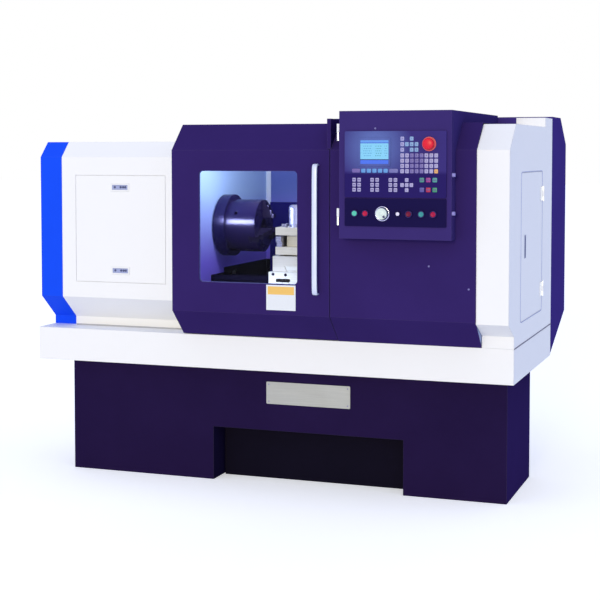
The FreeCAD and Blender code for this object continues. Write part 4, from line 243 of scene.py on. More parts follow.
# ---- materials
def powder_coat(name, colour, roughness, specular, uneven, fold=1.0, peel=1.0, areas=(), shade_fade=None, marks=(),
                **more):
    """Baked paint on sheet: fine ripple, faint cloudy variation, edges a touch lighter, partly where the coat
    is thin and partly as a painted highlight along them.  fold and peel scale the settings of those names.
    Each area is a span of x, of y and of z, and the colour of what lies within them; marks are such areas laid
    over the shade_fade.  The shade_fade is painted shade: the height below which the coat has its shade
    colour, the height above which it has its own, and the shade colour."""
    edge_wear_and_highlight_share = 0.22
    trim = bpy.context.scene.lathe_trim
    sheet = Sheet(name)
    spot = sheet.coordinates()
    cloud = sheet.noise(spot, 2.6, 5.0, 0.6)
    tone = sheet.shaded(cloud, colour, 1.0 - uneven, 1.0 + uneven)
    split = sheet.split(spot) if areas or shade_fade or marks else None
    for *spans, other in areas:
        tone = sheet.blend(sheet.inside(split, spans), tone, rgba(other))
    # painted shade: from the full height down to the foot the colour goes over to the darker shade colour
    if shade_fade:
        foot, full, shade_colour = shade_fade
        tone = sheet.blend(sheet.spread(split[2], 0.0, 1.0, foot, full), rgba(shade_colour), tone)
    for *spans, other in marks:
        tone = sheet.blend(sheet.inside(split, spans), tone, rgba(other))
    soft = sheet.softened(trim.fold * fold)
    # edges lighter: partly where the coat is thin, partly a painted highlight
    dot = sheet.add("VectorMath", soft, sheet.add("NewGeometry").outputs["Normal"], operation="DOT_PRODUCT")
    edge = sheet.maths("MULTIPLY", sheet.spread(dot.outputs["Value"], 1.0, 0.0, 0.80, 0.995), edge_wear_and_highlight_share)
    tone = sheet.blend(edge, tone, rgba([c * 0.6 + 0.4 for c in colour]))
    ripple = sheet.relief(sheet.noise(spot, 520.0), trim.peel * peel, 0.35, soft)
    rough = sheet.spread(cloud, roughness - 0.04, roughness + 0.05)
    return sheet.surface(tone, rough, ripple, specular, **more)


def rough_casting(name, colour, roughness=0.55):
    """Painted casting: coarse sandy relief with darker hollows."""
    sheet = Sheet(name)
    sand = sheet.noise(sheet.coordinates(), 160.0, 4.0, 0.65)
    return sheet.surface(sheet.shaded(sand, colour, 0.75, 1.25),
                         sheet.spread(sand, roughness - 0.1, roughness + 0.1),
                         sheet.relief(sand, 0.0008, 0.6, sheet.softened(0.003)), 0.0)


def ground_metal(name, colour, along, roughness, metallic=1.0, specular=0.5):
    """Ground steel: long fine scratches that run along one axis, and a faint oily bloom."""
    sheet = Sheet(name)
    scale = tuple(6.0 if axis == along else 420.0 for axis in "xyz")
    lines = sheet.noise(sheet.coordinates(scale), 1.0, 3.0, 0.6)
    bloom = sheet.noise(sheet.coordinates(), 9.0, 4.0, 0.6)
    tone = sheet.shaded(lines, colour, 0.86, 1.04)
    tone = sheet.blend(sheet.spread(bloom, 0.0, 0.25), tone, rgba(colour, 0.72))
    rough = sheet.maths("ADD", sheet.spread(lines, roughness - 0.07, roughness + 0.07),
                        sheet.spread(bloom, -0.03, 0.05))
    return sheet.surface(tone, rough, sheet.relief(lines, 0.00006, 0.5, sheet.softened(0.0012)), specular,
                         Metallic=metallic)


def turned_metal(name, colour, axis_y, axis_z, roughness, metallic, specular):
    """Turned steel: rings round the spindle axis, from the distance to that axis and the place along it."""
    sheet = Sheet(name)
    spot = sheet.coordinates(shift=(0.0, -axis_y, -axis_z))
    x, y, z = sheet.split(spot)
    squares = sheet.maths("ADD", sheet.maths("MULTIPLY", y, y), sheet.maths("MULTIPLY", z, z))
    radius = sheet.maths("SQRT", squares)
    rings = sheet.noise(sheet.add("CombineXYZ", x, radius).outputs[0], 700.0)
    bloom = sheet.noise(spot, 14.0, 3.0, 0.6)
    rough = sheet.maths("ADD", sheet.spread(rings, roughness - 0.02, roughness + 0.03),
                        sheet.spread(bloom, -0.02, 0.04))
    ridges = sheet.relief(rings, 0.00001, 0.3, sheet.softened(0.0014))
    return sheet.surface(sheet.shaded(rings, colour, 0.84, 1.04), rough, ridges, specular, Metallic=metallic)


def moulded_plastic(name, colour, roughness=0.45, grain=900.0, specular=0.4, lower=None, lit=None):
    """Moulded plastic: fine spark-eroded grain with faint tone variation.  lower is the colour of the field
    below one height and how high that is; lit is a spot and the paler colour painted round it as a painted
    glow."""
    sheet = Sheet(name)
    spot = sheet.coordinates()
    fine = sheet.noise(spot, grain)
    tone = sheet.shaded(fine, colour, 0.93, 1.05)
    # painted glow: the colour grows paler near the spot
    if lit:
        reach = sheet.add("VectorMath", spot, lit[0], operation="DISTANCE").outputs["Value"]
        tone = sheet.blend(sheet.spread(reach, 0.62, 0.0, 0.050, 0.165), tone, rgba(lit[1]))
    if lower:
        height, seam = sheet.split(spot)[2], 0.008
        above = sheet.spread(height, 0.0, 1.0, lower[1] - seam, lower[1] + seam)
        tone = sheet.blend(above, rgba(lower[0]), tone)
    return sheet.surface(tone, sheet.spread(fine, roughness - 0.04, roughness + 0.04),
                         sheet.relief(fine, 0.00005, 0.4, sheet.softened(0.0006)), specular)


def soft_rubber(name, level=0.008):
    """Black rubber with a fine dusty grain, from a level of light to twice that level."""
    sheet = Sheet(name)
    fine = sheet.noise(sheet.coordinates(), 300.0, 3.0, 0.6)
    dark, dusty = ((level * k, level * k, level * k * 1.5, 1.0) for k in (1.0, 2.0))
    tone = sheet.blend(sheet.spread(fine, 0.0, 1.0), dark, dusty)
    return sheet.surface(tone, sheet.spread(fine, 0.6, 0.75), sheet.relief(fine, 0.0002, 0.4), 0.3)


def window_pane(name):
    """Clear pane: light passes straight through, with a mirror share that grows as the fifth power of how far
    the face turns away, under a thin uneven film of dust."""
    sheet = Sheet(name)
    haze = sheet.noise(sheet.coordinates(), 3.0, 3.0, 0.5)
    clear = sheet.add("BsdfTransparent", Color=(0.93, 0.95, 1.0, 1.0))
    shine = sheet.add("BsdfGlossy", Roughness=sheet.spread(haze, 0.02, 0.06))
    dust = sheet.add("BsdfDiffuse", Color=(0.90, 0.93, 1.0, 1.0))
    turned_away = sheet.maths("POWER", sheet.add("LayerWeight").outputs["Facing"], 5.0)
    pane = sheet.cover(turned_away, clear, shine)
    return sheet.end(sheet.cover(sheet.spread(haze, 0.0020, 0.0036), pane, dust))


def lit_display(name):
    """A lit screen that takes its colours from the piece's own attribute."""
    sheet = Sheet(name)
    colour = sheet.add("Attribute", attribute_name="tint").outputs["Color"]
    lines = sheet.noise(sheet.coordinates((1.0, 1.0, 1400.0)), 1.0, 0.0)
    tone = sheet.blend(sheet.spread(lines, 0.0, 0.10), colour, (0.0, 0.0, 0.0, 1.0))
    return sheet.surface(tone, 0.25, specular=0.3, Emission_Color=tone, Emission_Strength=0.45)


def tinted_plastic(name, roughness=0.4):
    """Plastic keys that take their colour from the piece's own attribute."""
    sheet = Sheet(name)
    colour = sheet.add("Attribute", attribute_name="tint").outputs["Color"]
    fine = sheet.noise(sheet.coordinates(), 900.0)
    tone = sheet.blend(sheet.spread(fine, 0.0, 0.12), colour, (0.05, 0.05, 0.07, 1.0))
    return sheet.surface(tone, sheet.spread(fine, roughness - 0.05, roughness + 0.05),
                         sheet.relief(fine, 0.00004, 0.4), 0.4)


def banded_label(name, colour, low, high):
    """Printed plate: a coloured band inside a pale border near its upper edge, the rest left bare."""
    sheet = Sheet(name)
    span = high - low
    width = [low[0] + span[0] * part for part in (0.05, 0.95)]
    height = [low[2] + span[2] * part for part in (0.62, 0.94)]
    band = sheet.inside(sheet.split(sheet.coordinates()), (width, OPEN, height))
    fine = sheet.noise(sheet.coordinates(), 500.0)
    tone = sheet.blend(band, rgba((0.90, 0.92, 0.96)), rgba(colour))
    tone = sheet.blend(sheet.spread(fine, 0.0, 0.08), tone, (0.3, 0.3, 0.3, 1.0))
    return sheet.surface(tone, 0.32, sheet.relief(fine, 0.00003, 0.3), 0.4)


# ---- mesh helpers
def mesh_piece(name, points, faces, material, smooth=True, tint=None, closed=False):
    """A mesh object at the origin from point and face arrays; tint gives each face a colour, and closed
    merges points that lie on each other and turns every face outwards."""
    data = bpy.data.meshes.new(name)
    data.from_pydata(np.asarray(points, float).tolist(), [], [list(map(int, face)) for face in faces])
    data.polygons.foreach_set("use_smooth", np.full(len(data.polygons), smooth))
    if tint is not None:
        layer = data.attributes.new("tint", "FLOAT_COLOR", "CORNER")
        counts = np.empty(len(data.polygons), np.int32)
        data.polygons.foreach_get("loop_total", counts)
        layer.data.foreach_set("color", np.repeat(np.asarray(tint, float), counts, axis=0).ravel())
    if closed:
        shape = bmesh.new()
        shape.from_mesh(data)
        bmesh.ops.remove_doubles(shape, verts=shape.verts, dist=1e-6)
        bmesh.ops.dissolve_degenerate(shape, dist=1e-7, edges=shape.edges)
        bmesh.ops.recalc_face_normals(shape, faces=shape.faces)
        shape.to_mesh(data)
        shape.free()
    data.update()
    piece = bpy.data.objects.new(name, data)
    bpy.context.scene.collection.objects.link(piece)
    data.materials.append(material)
    return piece


def fit(piece, body, node=None):
    """Says which body a new piece rides on and which plain node it replaces."""
    if node:
        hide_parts(node)
    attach(piece, body)


def grid_faces(rows, columns, wrap=False):
    """Quads over a rows by columns grid of points; wrap joins the last column to the first."""
    i = np.arange(rows - 1)[:, None] * columns
    j = np.arange(columns if wrap else columns - 1)[None, :]
    k = (j + 1) % columns
    return np.stack([i + j, i + k, i + columns + k, i + columns + j], -1).reshape(-1, 4)


AXES = {"x": np.array([[1, 0, 0], [0, 1, 0], [0, 0, 1]], float),
        "y": np.array([[0, 1, 0], [0, 0, 1], [1, 0, 0]], float)}


def circle(steps):
    """Turns from nought to just short of a whole turn."""
    return np.linspace(0.0, 2.0 * np.pi, steps, endpoint=False)


def turned_points(profile, steps, teeth, depth):
    """Points of a turned shape: each (along, radius) pair swept round a circle of steps.  With teeth, the
    radius is cut by depth times half of one minus the cosine of teeth turns, times the row's own share."""
    profile = np.asarray(profile, float)
    turn = circle(steps)
    radius = profile[:, 1:2]
    if teeth:
        radius = radius - depth * profile[:, 2:3] * (0.5 - 0.5 * np.cos(teeth * turn))
    along = np.repeat(profile[:, :1], steps, axis=1)
    return np.stack([along, radius * np.cos(turn), radius * np.sin(turn)], -1)


def turned_set(name, profile, places, material, steps, axis="y", sign=-1, teeth=0, depth=0.0):
    """One mesh of equal turned shapes; each place is the centre of a foot, pointing along sign times axis."""
    base = turned_points(profile, steps, teeth, depth).reshape(-1, 3)
    base = base * np.array([sign, 1.0, 1.0]) @ AXES[axis]
    faces = grid_faces(len(profile), steps, wrap=True)
    if sign > 0:
        faces = faces[:, ::-1]
    every_point = [base + np.asarray(place, float) for place in places]
    every_face = [faces + n * len(base) for n in range(len(places))]
    return mesh_piece(name, np.concatenate(every_point), np.concatenate(every_face), material, closed=True)


def tube_piece(name, path, material):
    """A closed tube over rings of points, with a fan at each end around an added pole point."""
    rows, columns = path.shape[:2]
    last = (rows - 1) * columns
    faces = grid_faces(rows, columns, wrap=True).tolist()
    faces += [[(n + 1) % columns, n, rows * columns] for n in range(columns)]
    faces += [[last + n, last + (n + 1) % columns, rows * columns + 1] for n in range(columns)]
    points = np.concatenate([path.reshape(-1, 3), path[[0, -1]].mean(axis=1)])
    return mesh_piece(name, points, faces, material, closed=True)


def corner(node):
    """Lowest and highest corner of a node as arrays."""
    low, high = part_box(node)
    return np.array(low), np.array(high)


def dress(names, material):
    """Gives CAD nodes their finish."""
    for name in names.split():
        data = NODES[name].data
        data.materials.clear()
        data.materials.append(material)


# ---- formulas of the new pieces
# pitch along X and Z, width and height of a kind of key, then left, low, columns and rows of its blocks,
# all in millimetres from the unit's lower left corner
KEY_KINDS = (
    ((24.0, 21.0, 35.0, 16.6), ((32.5, 102.3, 1, 1),)),
    ((23.9, 21.0, 18.0, 16.6), ((72.5, 102.3, 5, 1),)),
    ((24.0, 21.0, 38.0, 16.6), ((191.5, 102.3, 1, 1),)),
    ((20.3, 21.4, 15.5, 17.0), ((239.4, 100.6, 8, 4),)),
    ((20.3, 22.5, 15.5, 17.0), ((239.4, 188.0, 1, 3), (258.7, 210.5, 3, 1), (279.0, 233.0, 1, 1),
                                (279.0, 188.0, 2, 1))),
    ((21.6, 20.5, 15.0, 16.0), ((34.3, 24.0, 2, 3), (111.9, 24.0, 2, 3), (189.8, 24.0, 2, 3))),
    ((19.6, 20.5, 15.0, 16.0), ((239.4, 44.5, 3, 1), (259.0, 24.0, 1, 1), (259.0, 65.0, 1, 1))),
    ((27.0, 40.0, 19.0, 19.0), ((320.5, 24.0, 3, 2),)))
KEY_BLOCKS = [block + kind for kind, blocks in KEY_KINDS for block in blocks]
SOFT, LIT, SOFT_RIGHT, DATA, PAGE, CYCLE = 0, 1, 2, 3, 4, 14
ARROWS = (5, 6, 7)
MODES = (8, 9, 10)
BLOCK_TINTS = {SOFT: (0.43, 0.36, 0.66), LIT: (0.36, 0.60, 0.87), SOFT_RIGHT: (0.43, 0.43, 0.70),
               PAGE: (0.62, 0.62, 0.84), **dict.fromkeys(ARROWS, (0.51, 0.65, 0.84))}
DIM_KEY, DIM_COLUMNS = (0.45, 0.41, 0.68), (2, 3, 4)
INPUT_KEY, INPUT_PLACE = (0.88, 0.66, 0.42), (0, 7)
CYCLE_TINTS = ((0.31, 0.29, 0.63), (0.68, 0.09, 0.31), (0.20, 0.55, 0.43),
               (0.24, 0.53, 0.52), (0.60, 0.17, 0.55), (0.28, 0.58, 0.58))
LEGENDS = {DATA: ("FDIK-0.=", "MSTL123*", "XZUW456/", "ONGP789+"), PAGE: ("V", "H", "A"),
           5: ("<o>",), 6: ("^",), 7: ("vE",), 11: ("<~>",), 12: ("v",), 13: ("^",)}
INK = 0.00012                    # how far a legend stands out of its key


def key_places():
    """Centre, size, tint, block and legend of every key in metres, block by block."""
    low, _ = corner("keypad_unit")
    plain = tuple(bpy.context.scene.lathe_finish.key)
    found = []
    for block, (left, foot, columns, rows, pitch_x, pitch_z, width, height) in enumerate(KEY_BLOCKS):
        letters = LEGENDS.get(block)
        for row in range(rows):
            for column in range(columns):
                tint = BLOCK_TINTS.get(block, plain)
                if block == DATA and column in DIM_COLUMNS:
                    tint = DIM_KEY
                if block == DATA and (row, column) == INPUT_PLACE:
                    tint = INPUT_KEY
                if block == CYCLE:
                    tint = CYCLE_TINTS[row * columns + column]
                x = low[0] + (left + column * pitch_x + width / 2) * MM
                z = low[2] + (foot + row * pitch_z + height / 2) * MM
                sign = letters[row][column] if letters else ""
                found.append((x, z, width * MM, height * MM, tint, block, sign))
    return found


def keycaps(places, front, lift):
    """Domed caps, one for each place's centre, width and height.  Over u and v from -1 to 1 a cap's plan is
    a rounded square, and its height falls from the middle as one minus a sixth of u squared plus v squared,
    then drops straight to the panel at the rim."""
    u = np.array([-1.0, -1.0, -0.86, -0.4, 0.4, 0.86, 1.0, 1.0])
    grid_u, grid_v = np.meshgrid(u, u, indexing="ij")
    squeeze_u = grid_u * np.sqrt(1.0 - 0.16 * grid_v ** 8)
    squeeze_v = grid_v * np.sqrt(1.0 - 0.16 * grid_u ** 8)
    rim = np.zeros_like(grid_u, bool)
    rim[[0, -1], :] = True
    rim[:, [0, -1]] = True
    height = np.where(rim, 0.0, 1.0 - (grid_u ** 2 + grid_v ** 2) / 6.0)
    points = [np.stack([x + squeeze_u * width / 2, front - height * lift, z + squeeze_v * high / 2], -1)
              for x, z, width, high, *_ in places]
    faces = [grid_faces(u.size, u.size) + n * u.size ** 2 for n in range(len(places))]
    return np.concatenate(points).reshape(-1, 3), np.concatenate(faces)


def flat_text(sign, size, x, front, z):
    """Points and faces of a letter laid on the plane y = front, from a text turned into a mesh."""
    curve = bpy.data.curves.new("legend", "FONT")
    curve.body = sign
    curve.size = size
    curve.align_x, curve.align_y = "CENTER", "CENTER"
    curve.resolution_u = 2
    curve.extrude = INK
    text = bpy.data.objects.new("legend", curve)
    bpy.context.scene.collection.objects.link(text)
    data = bpy.data.meshes.new_from_object(text)
    bpy.data.objects.remove(text)
    points = np.empty(len(data.vertices) * 3)
    data.vertices.foreach_get("co", points)
    points = points.reshape(-1, 3)
    placed = np.stack([x + points[:, 0], front - points[:, 2], z + points[:, 1]], -1)
    faces = [list(face.vertices) for face in data.polygons]
    bpy.data.meshes.remove(data)
    return placed, faces


def key_legends(places, front, material):
    """Plain letters on the data keys and a dark bar across each mode and cycle key."""
    points, faces, count = [], [], 0
    for x, z, width, high, _, block, sign in places:
        if sign:
            placed, quads = flat_text(sign, high * 0.60, x, front, z)
        elif block in MODES or block == CYCLE:
            reach, rise = width * 0.36, high * 0.10
            placed = np.array([(x + a * reach, front - c * INK, z + b * rise)
                               for c in (-1, 1) for b in (-1, 1) for a in (-1, 1)])
            quads = [[0, 1, 3, 2], [4, 6, 7, 5], [0, 4, 5, 1], [2, 3, 7, 6], [0, 2, 6, 4], [1, 5, 7, 3]]
        else:
            continue
        points.append(placed)
        faces += [[v + count for v in face] for face in quads]
        count += len(placed)
    return mesh_piece("key_legends", np.concatenate(points), faces, material, smooth=False, closed=True)


def display_cells(low, high, front):
    """The picture on the screen: a pale field with a title line, three columns of bars and a blue foot."""
    columns, rows = 40, 30
    gx, gz = np.meshgrid(np.linspace(low[0], high[0], columns + 1), np.linspace(low[2], high[2], rows + 1),
                         indexing="ij")
    points = np.stack([gx, np.full_like(gx, front), gz], -1).reshape(-1, 3)
    faces = grid_faces(columns + 1, rows + 1)[:, ::-1]
    i, j = np.meshgrid(np.arange(columns), np.arange(rows), indexing="ij")
    tint = np.empty((columns, rows, 4))
    words = (j >= 8) & (j < 25) & (j % 3 == 1) & (((i * 7 + j * 5) % 11) > 3)
    for cells, colour in ((j >= 0, bpy.context.scene.lathe_finish.display), (j >= 27, (0.34, 0.54, 0.82)),
                          (j == 26, (0.20, 0.32, 0.70)), (j < 5, (0.24, 0.38, 0.80)),
                          (j == 5, (0.07, 0.10, 0.34)), (words & (i > 3) & (i < 16), (0.33, 0.56, 0.72)),
                          (words & (i > 20) & (i < 30), (0.30, 0.55, 0.62)),
                          (words & (i > 33) & (i < 38), (0.36, 0.56, 0.70))):
        tint[cells] = rgba(colour)
    return points, faces, tint.reshape(-1, 4)


def screw_profile(radius):
    """Button head: rounded rim, flat top and a hollow in the middle, as (along, radius) pairs."""
    outline = ((0.0, 1.0), (0.30, 1.0), (0.52, 0.88), (0.60, 0.68), (0.60, 0.42), (0.22, 0.38), (0.18, 0.0))
    return [(radius * along, radius * out) for along, out in outline]


def collar_profile(inner, outer, rise):
    """Bezel ring: up the outside, over a rounded lip and down the bore."""
    lip = outer - inner
    return [(0.0, outer), (rise * 0.55, outer), (rise * 0.85, outer - lip * 0.15), (rise, outer - lip * 0.4),
            (rise, inner + lip * 0.25), (rise * 0.9, inner), (0.0, inner)]


def cap_profile(radius, rise, dish):
    """Push-button cap: straight side, rounded rim and a face dished by a shallow parabola."""
    face = [(rise - dish * (1.0 - k * k), radius * 0.84 * k) for k in np.linspace(1.0, 0.0, 7)]
    return [(0.0, radius), (rise * 0.55, radius), (rise * 0.86, radius * 0.95)] + face


def mushroom_profile(radius, stem, reach):
    """Emergency stop: stem, undercut, a rim that swells to the full radius and a low dome over it."""
    swell = ((0.40, 0.70), (0.43, 0.93), (0.50, 1.0), (0.66, 1.0), (0.76, 0.96))
    dome = [(reach * (0.80 + 0.20 * np.sin(a)), radius * 0.93 * np.cos(a))
            for a in np.linspace(0.25, 1.0, 7) * np.pi / 2]
    return [(0.0, stem), (reach * 0.38, stem)] + [(reach * a, radius * r) for a, r in swell] + dome


def handwheel_profile(radius, deep, rise):
    """Pulse handwheel as (along, radius, share of the flutes): hub, fluted rim and a dished front face."""
    front, dish = deep - rise, deep - rise - 0.0012
    return [(0.0, 0.0, 0.0), (0.0, 0.0078, 0.0), (deep * 0.16, 0.0078, 0.0),
            (deep * 0.17, radius * 0.90, 0.0), (deep * 0.20, radius, 1.0), (front - 0.003, radius, 1.0),
            (front - 0.0006, radius * 0.94, 0.3),
            (front, radius * 0.86, 0.0), (dish, radius * 0.78, 0.0), (dish, radius * 0.30, 0.0),
            (front, radius * 0.24, 0.0), (front, 0.0, 0.0)]


def folded(value, power):
    """A value from -1 to 1 raised to a power with its sign kept; small powers square a circle off."""
    return np.sign(value) * np.abs(value) ** power


def grip_points(low, high, foot, reach, width, thickness, steps=61, around=20):
    """A bail grip in the plane of y and z.  Its path is a squared half oval: over a turn t from 0 to pi the
    height goes as the cosine and the stand-off as the sine, each raised to the power 0.22.  Its section is a
    rounded oval of the given width and thickness, carried at right angles to the path."""
    turn = np.linspace(0.0, np.pi, steps)
    half = (high - low - thickness) / 2
    z = (low + high) / 2 - half * folded(np.cos(turn), 0.22)
    y = foot - (reach - thickness / 2) * folded(np.sin(turn), 0.22)
    run = np.stack([np.gradient(y), np.gradient(z)], -1)
    run /= np.linalg.norm(run, axis=1)[:, None]
    section = circle(around)
    across = width / 2 * folded(np.cos(section), 0.7)
    through = thickness / 2 * folded(np.sin(section), 0.7)
    return np.stack([np.repeat(across[None, :], steps, 0), y[:, None] - run[:, 1:2] * through,
                     z[:, None] + run[:, 0:1] * through], -1)


def strip_points(start, end, radius, steps=16):
    """A round seal strip: a circle of the given radius in the plane of x and z, carried from start to end."""
    turn = circle(steps)
    ring = np.stack([radius * np.cos(turn), np.zeros(steps), radius * np.sin(turn)], -1)
    return np.stack([ring + np.asarray(start, float), ring + np.asarray(end, float)])


def seal_points(low, high, face, radius, steps=240, around=10):
    """A closed seal in the plane of y and z.  Over a turn t its path is a rectangle with small round corners,
    the cosine and the sine each raised to the power 0.06; the section is a circle of the given radius whose
    outward part widens the rectangle and whose other part stands out along x."""
    turn = np.linspace(0.0, 2.0 * np.pi, steps + 1)
    section = circle(around)
    grow = radius * np.cos(section)[None, :]
    half_y, half_z = (high[0] - low[0]) / 2, (high[1] - low[1]) / 2
    y = (low[0] + high[0]) / 2 + (half_y + grow) * folded(np.round(np.cos(turn), 9), 0.06)[:, None]
    z = (low[1] + high[1]) / 2 + (half_z + grow) * folded(np.round(np.sin(turn), 9), 0.06)[:, None]
    x = np.repeat(face + radius * np.sin(section)[None, :], steps + 1, axis=0)
    return np.stack([x, y, z], -1)


# ---- operators
class Step:
    """What the operators share: each reads the settings that it needs and makes its pieces."""

    def execute(self, context):
        self.make(context.scene.lathe_finish, context.scene.lathe_trim)
        return {"FINISHED"}


class LATHE_OT_guards(Step, bpy.types.Operator):
    """Paint the tray, covers, end guard, cabinet, stand and work space"""
    bl_idname = "lathe.guards"
    bl_label = "Guards"

    def make(self, finish, trim):
        coats = (
            ("white_guard_paint", "chip_tray headstock_cover end_guard side_door access_panel", finish.white,
             0.45, 0.05, 0.006),
            ("purple_guard_paint", "front_cover", finish.purple, *MATT),
            ("cabinet_paint", "cabinet cabinet_door", finish.cabinet, *MATT),
            ("blue_cover_paint", "end_cover", finish.blue, 0.46, 0.03, 0.04),
            ("tank_paint", "coolant_tank", TANK_PAINT_AND_RECESS_SHADE, 0.5, 0.012, 0.1),
            ("splash_paint", "rear_splash", finish.splash, 0.45, 0.02, 0.08))
        for name, nodes, colour, roughness, specular, uneven in coats:
            dress(nodes, powder_coat(name, colour, roughness, specular, uneven))
        # painted shade: the stand's hollow round the tank takes the tank's dark colour; the span is open front
        # to back, so the stand's back gets the same dark patch
        recess_shade = ((-0.2758, 0.6198), OPEN, (None, 0.2438), TANK_PAINT_AND_RECESS_SHADE)
        dress("base_stand", powder_coat("stand_paint", finish.stand, 0.52, 0.0, 0.10, peel=2.0, marks=[recess_shade],
                                        Sheen_Weight=0.11, Sheen_Tint=(0.22, 0.13, 1.0, 1.0)))
        dress("fixed_hinges", ground_metal("hinge_plating", PLATING_AND_STRIP_REFLECTION, "z", 0.35))
        dress("machine_plate", ground_metal("plate_metal", (0.67, 0.68, 0.69), "x", 0.42, 0.6))
        dress("side_door_pull", moulded_plastic("pull_plastic", (0.44, 0.48, 0.66)))
        dress("cabinet_latch", moulded_plastic("latch_plastic", (0.06, 0.06, 0.08)))
        dress("electrics", moulded_plastic("drive_cases", (0.62, 0.64, 0.66), 0.5))
        self.work_space(finish)

    def work_space(self, finish):
        """Inner walls: the bulkhead, a strip beside it painted pale as a painted reflection of its polished
        face, the walls beyond painted darker and bluer as painted shade, and painted shade dark behind the bed
        and violet towards the foot; the outer faces are white."""
        low, high = corner("work_space_walls")
        strip_left, strip_right = low[0] + 0.0031, low[0] + 0.0275
        outer_left, outer_back, end_wall = low[0] + 0.0010, high[1] - 0.0015, 0.93
        # the strip is painted pale as a painted reflection; the walls beyond are painted darker and bluer as
        # painted shade
        walls = (((strip_left, strip_right), OPEN, OPEN, PLATING_AND_STRIP_REFLECTION),
                 ((strip_right, None), OPEN, OPEN, (0.42, 0.47, 0.74)))
        # painted shade: dark on the walls' lower part behind the bed; then the end wall's own colour and the
        # white outer faces
        marks = (((None, end_wall), (-0.214, None), (None, 0.948), (0.065, 0.057, 0.13)),
                 ((end_wall, None), OPEN, OPEN, (0.62, 0.68, 0.84)),
                 (OPEN, (outer_back, None), OPEN, finish.white),
                 ((None, outer_left), OPEN, OPEN, finish.white))
        # the shade_fade is painted shade: below 1.30 m the walls go over to violet, fully from 0.98 m down
        dress("work_space_walls", powder_coat("work_space_paint_and_shade", finish.inner, 0.45, 0.02, 0.05, areas=walls,
                                              shade_fade=(0.98, 1.30, (0.58, 0.48, 0.95)), marks=marks))


class LATHE_OT_sliding_door(Step, bpy.types.Operator):
    """Finish the sliding door with its window, grip and printed plate"""
    bl_idname = "lathe.sliding_door"
    bl_label = "Sliding door"

    def make(self, finish, trim):
        dress("door_panel", powder_coat("door_paint", finish.purple, *MATT))
        dress("door_glass", window_pane("window_glass"))
        dress("window_gasket", moulded_plastic("gasket_moulding", (0.40, 0.42, 0.72), 0.5))
        dress("door_rails", ground_metal("rail_steel", (0.75, 0.75, 0.77), "x", 0.3))
        dress("door_label", banded_label("door_label_print", finish.label, *corner("door_label")))
        low, high = corner("door_handle")
        width, thickness = 0.023, 0.010
        path = grip_points(low[2], high[2], high[1], high[1] - low[1], width, thickness)
        path[..., 0] += (low[0] + high[0]) / 2
        grip = tube_piece("door_grip", path, ground_metal("grip_metal", (0.84, 0.88, 1.0), "z", 0.42, 0.2))
        fit(grip, "sliding_door", "door_handle")


class LATHE_OT_latches(Step, bpy.types.Operator):
    """Finish the two paddle latches of the headstock panel and give each its lock and finger edge"""
    bl_idname = "lathe.latches"
    bl_label = "Paddle latches"

    def make(self, finish, trim):
        paddle = ground_metal("paddle_metal", (0.62, 0.66, 0.84), "x", 0.45, 0.2)
        dark = moulded_plastic("lock_plastic", (0.20, 0.23, 0.42), 0.4)
        ring = collar_profile(0.0012, 0.0052, 0.0014)
        lock_and_ribs, mid_height = (0.18, 0.56, 0.72, 0.86), 0.55
        for name, body in (("lower_latch", "lower_paddle"), ("upper_latch", "upper_paddle")):
            dress(name, paddle)
            low, high = corner(name)
            span = high - low
            spots = [(low[0] + span[0] * part, low[1], low[2] + span[2] * mid_height)
                     for part in lock_and_ribs]
            fit(turned_set(name + "_lock", ring, spots, dark, 18), body)


class LATHE_OT_fasteners(Step, bpy.types.Operator):
    """Add the screws of the covers, plate and control box, the seals and the side door's hinge leaves"""
    bl_idname = "lathe.fasteners"
    bl_label = "Fasteners"

    def make(self, finish, trim):
        steel = ground_metal("screw_metal", (0.50, 0.48, 0.74), "x", 0.45, 0.5)
        head = screw_profile(trim.screw)
        rivet = screw_profile(trim.screw * 0.6)
        cover, _ = corner("front_cover")
        door, _ = corner("box_door")
        plate, plate_high = corner("machine_plate")
        inset = 0.012
        # places are right of and above the lower left corner of what the screw holds
        cover_spots = [(cover[0] + x, cover[1], cover[2] + z) for x, z in ((0.444, 0.346), (0.612, 0.256))]
        door_spots = [(door[0] + 0.171, door[1], door[2] + 0.456)]
        plate_spots = [(x, plate[1], z) for x in (plate[0] + inset, plate_high[0] - inset)
                       for z in (plate[2] + inset, plate_high[2] - inset)]
        fit(turned_set("cover_screws", head, cover_spots, steel, 16), "frame")
        fit(turned_set("box_door_screw", head, door_spots, steel, 16), "control_door")
        self.guard_foot()
        self.side_door()
        fit(turned_set("plate_rivets", rivet, plate_spots, steel, 16), "frame")

    def guard_foot(self):
        """A round rubber strip in the seam between the tray and the end guard."""
        low, high = corner("chip_tray")
        height = corner("end_guard")[0][2]
        path = strip_points((high[0], low[1] + 0.004, height), (high[0], high[1], height), 0.0026)
        fit(tube_piece("guard_foot_seal", path, soft_rubber("seal_rubber", 0.10)), "frame")

    def side_door(self):
        """Plated leaves of the side door's hinges and the seal that runs round the opening."""
        low, high = corner("side_door")
        guard = corner("end_guard")[1][0]
        leaves = [(0.064, low[2] + rise, 0.043, 0.064) for rise in (0.096, 0.531)]
        points, faces = keycaps(leaves, 0.0, 0.0006)
        points = points[:, [1, 0, 2]] * np.array([-1.0, 1.0, 1.0]) + np.array([guard + 0.0025, 0.0, 0.0])
        plates = mesh_piece("hinge_leaves", points, faces, ground_metal("leaf_plating", PLATING_AND_STRIP_REFLECTION, "z", 0.35))
        fit(plates, "side_access")
        gap, free_gap = 0.004, 0.0037
        path = seal_points((low[1] - gap, low[2] - gap), (high[1] - free_gap, high[2] + gap), guard, 0.0016)
        rubber = moulded_plastic("seal_moulding", (0.66, 0.69, 0.84), 0.6, specular=0.1)
        quads = grid_faces(*path.shape[:2], wrap=True)
        seal = mesh_piece("side_door_seal", path.reshape(-1, 3), quads, rubber, closed=True)
        fit(seal, "frame")


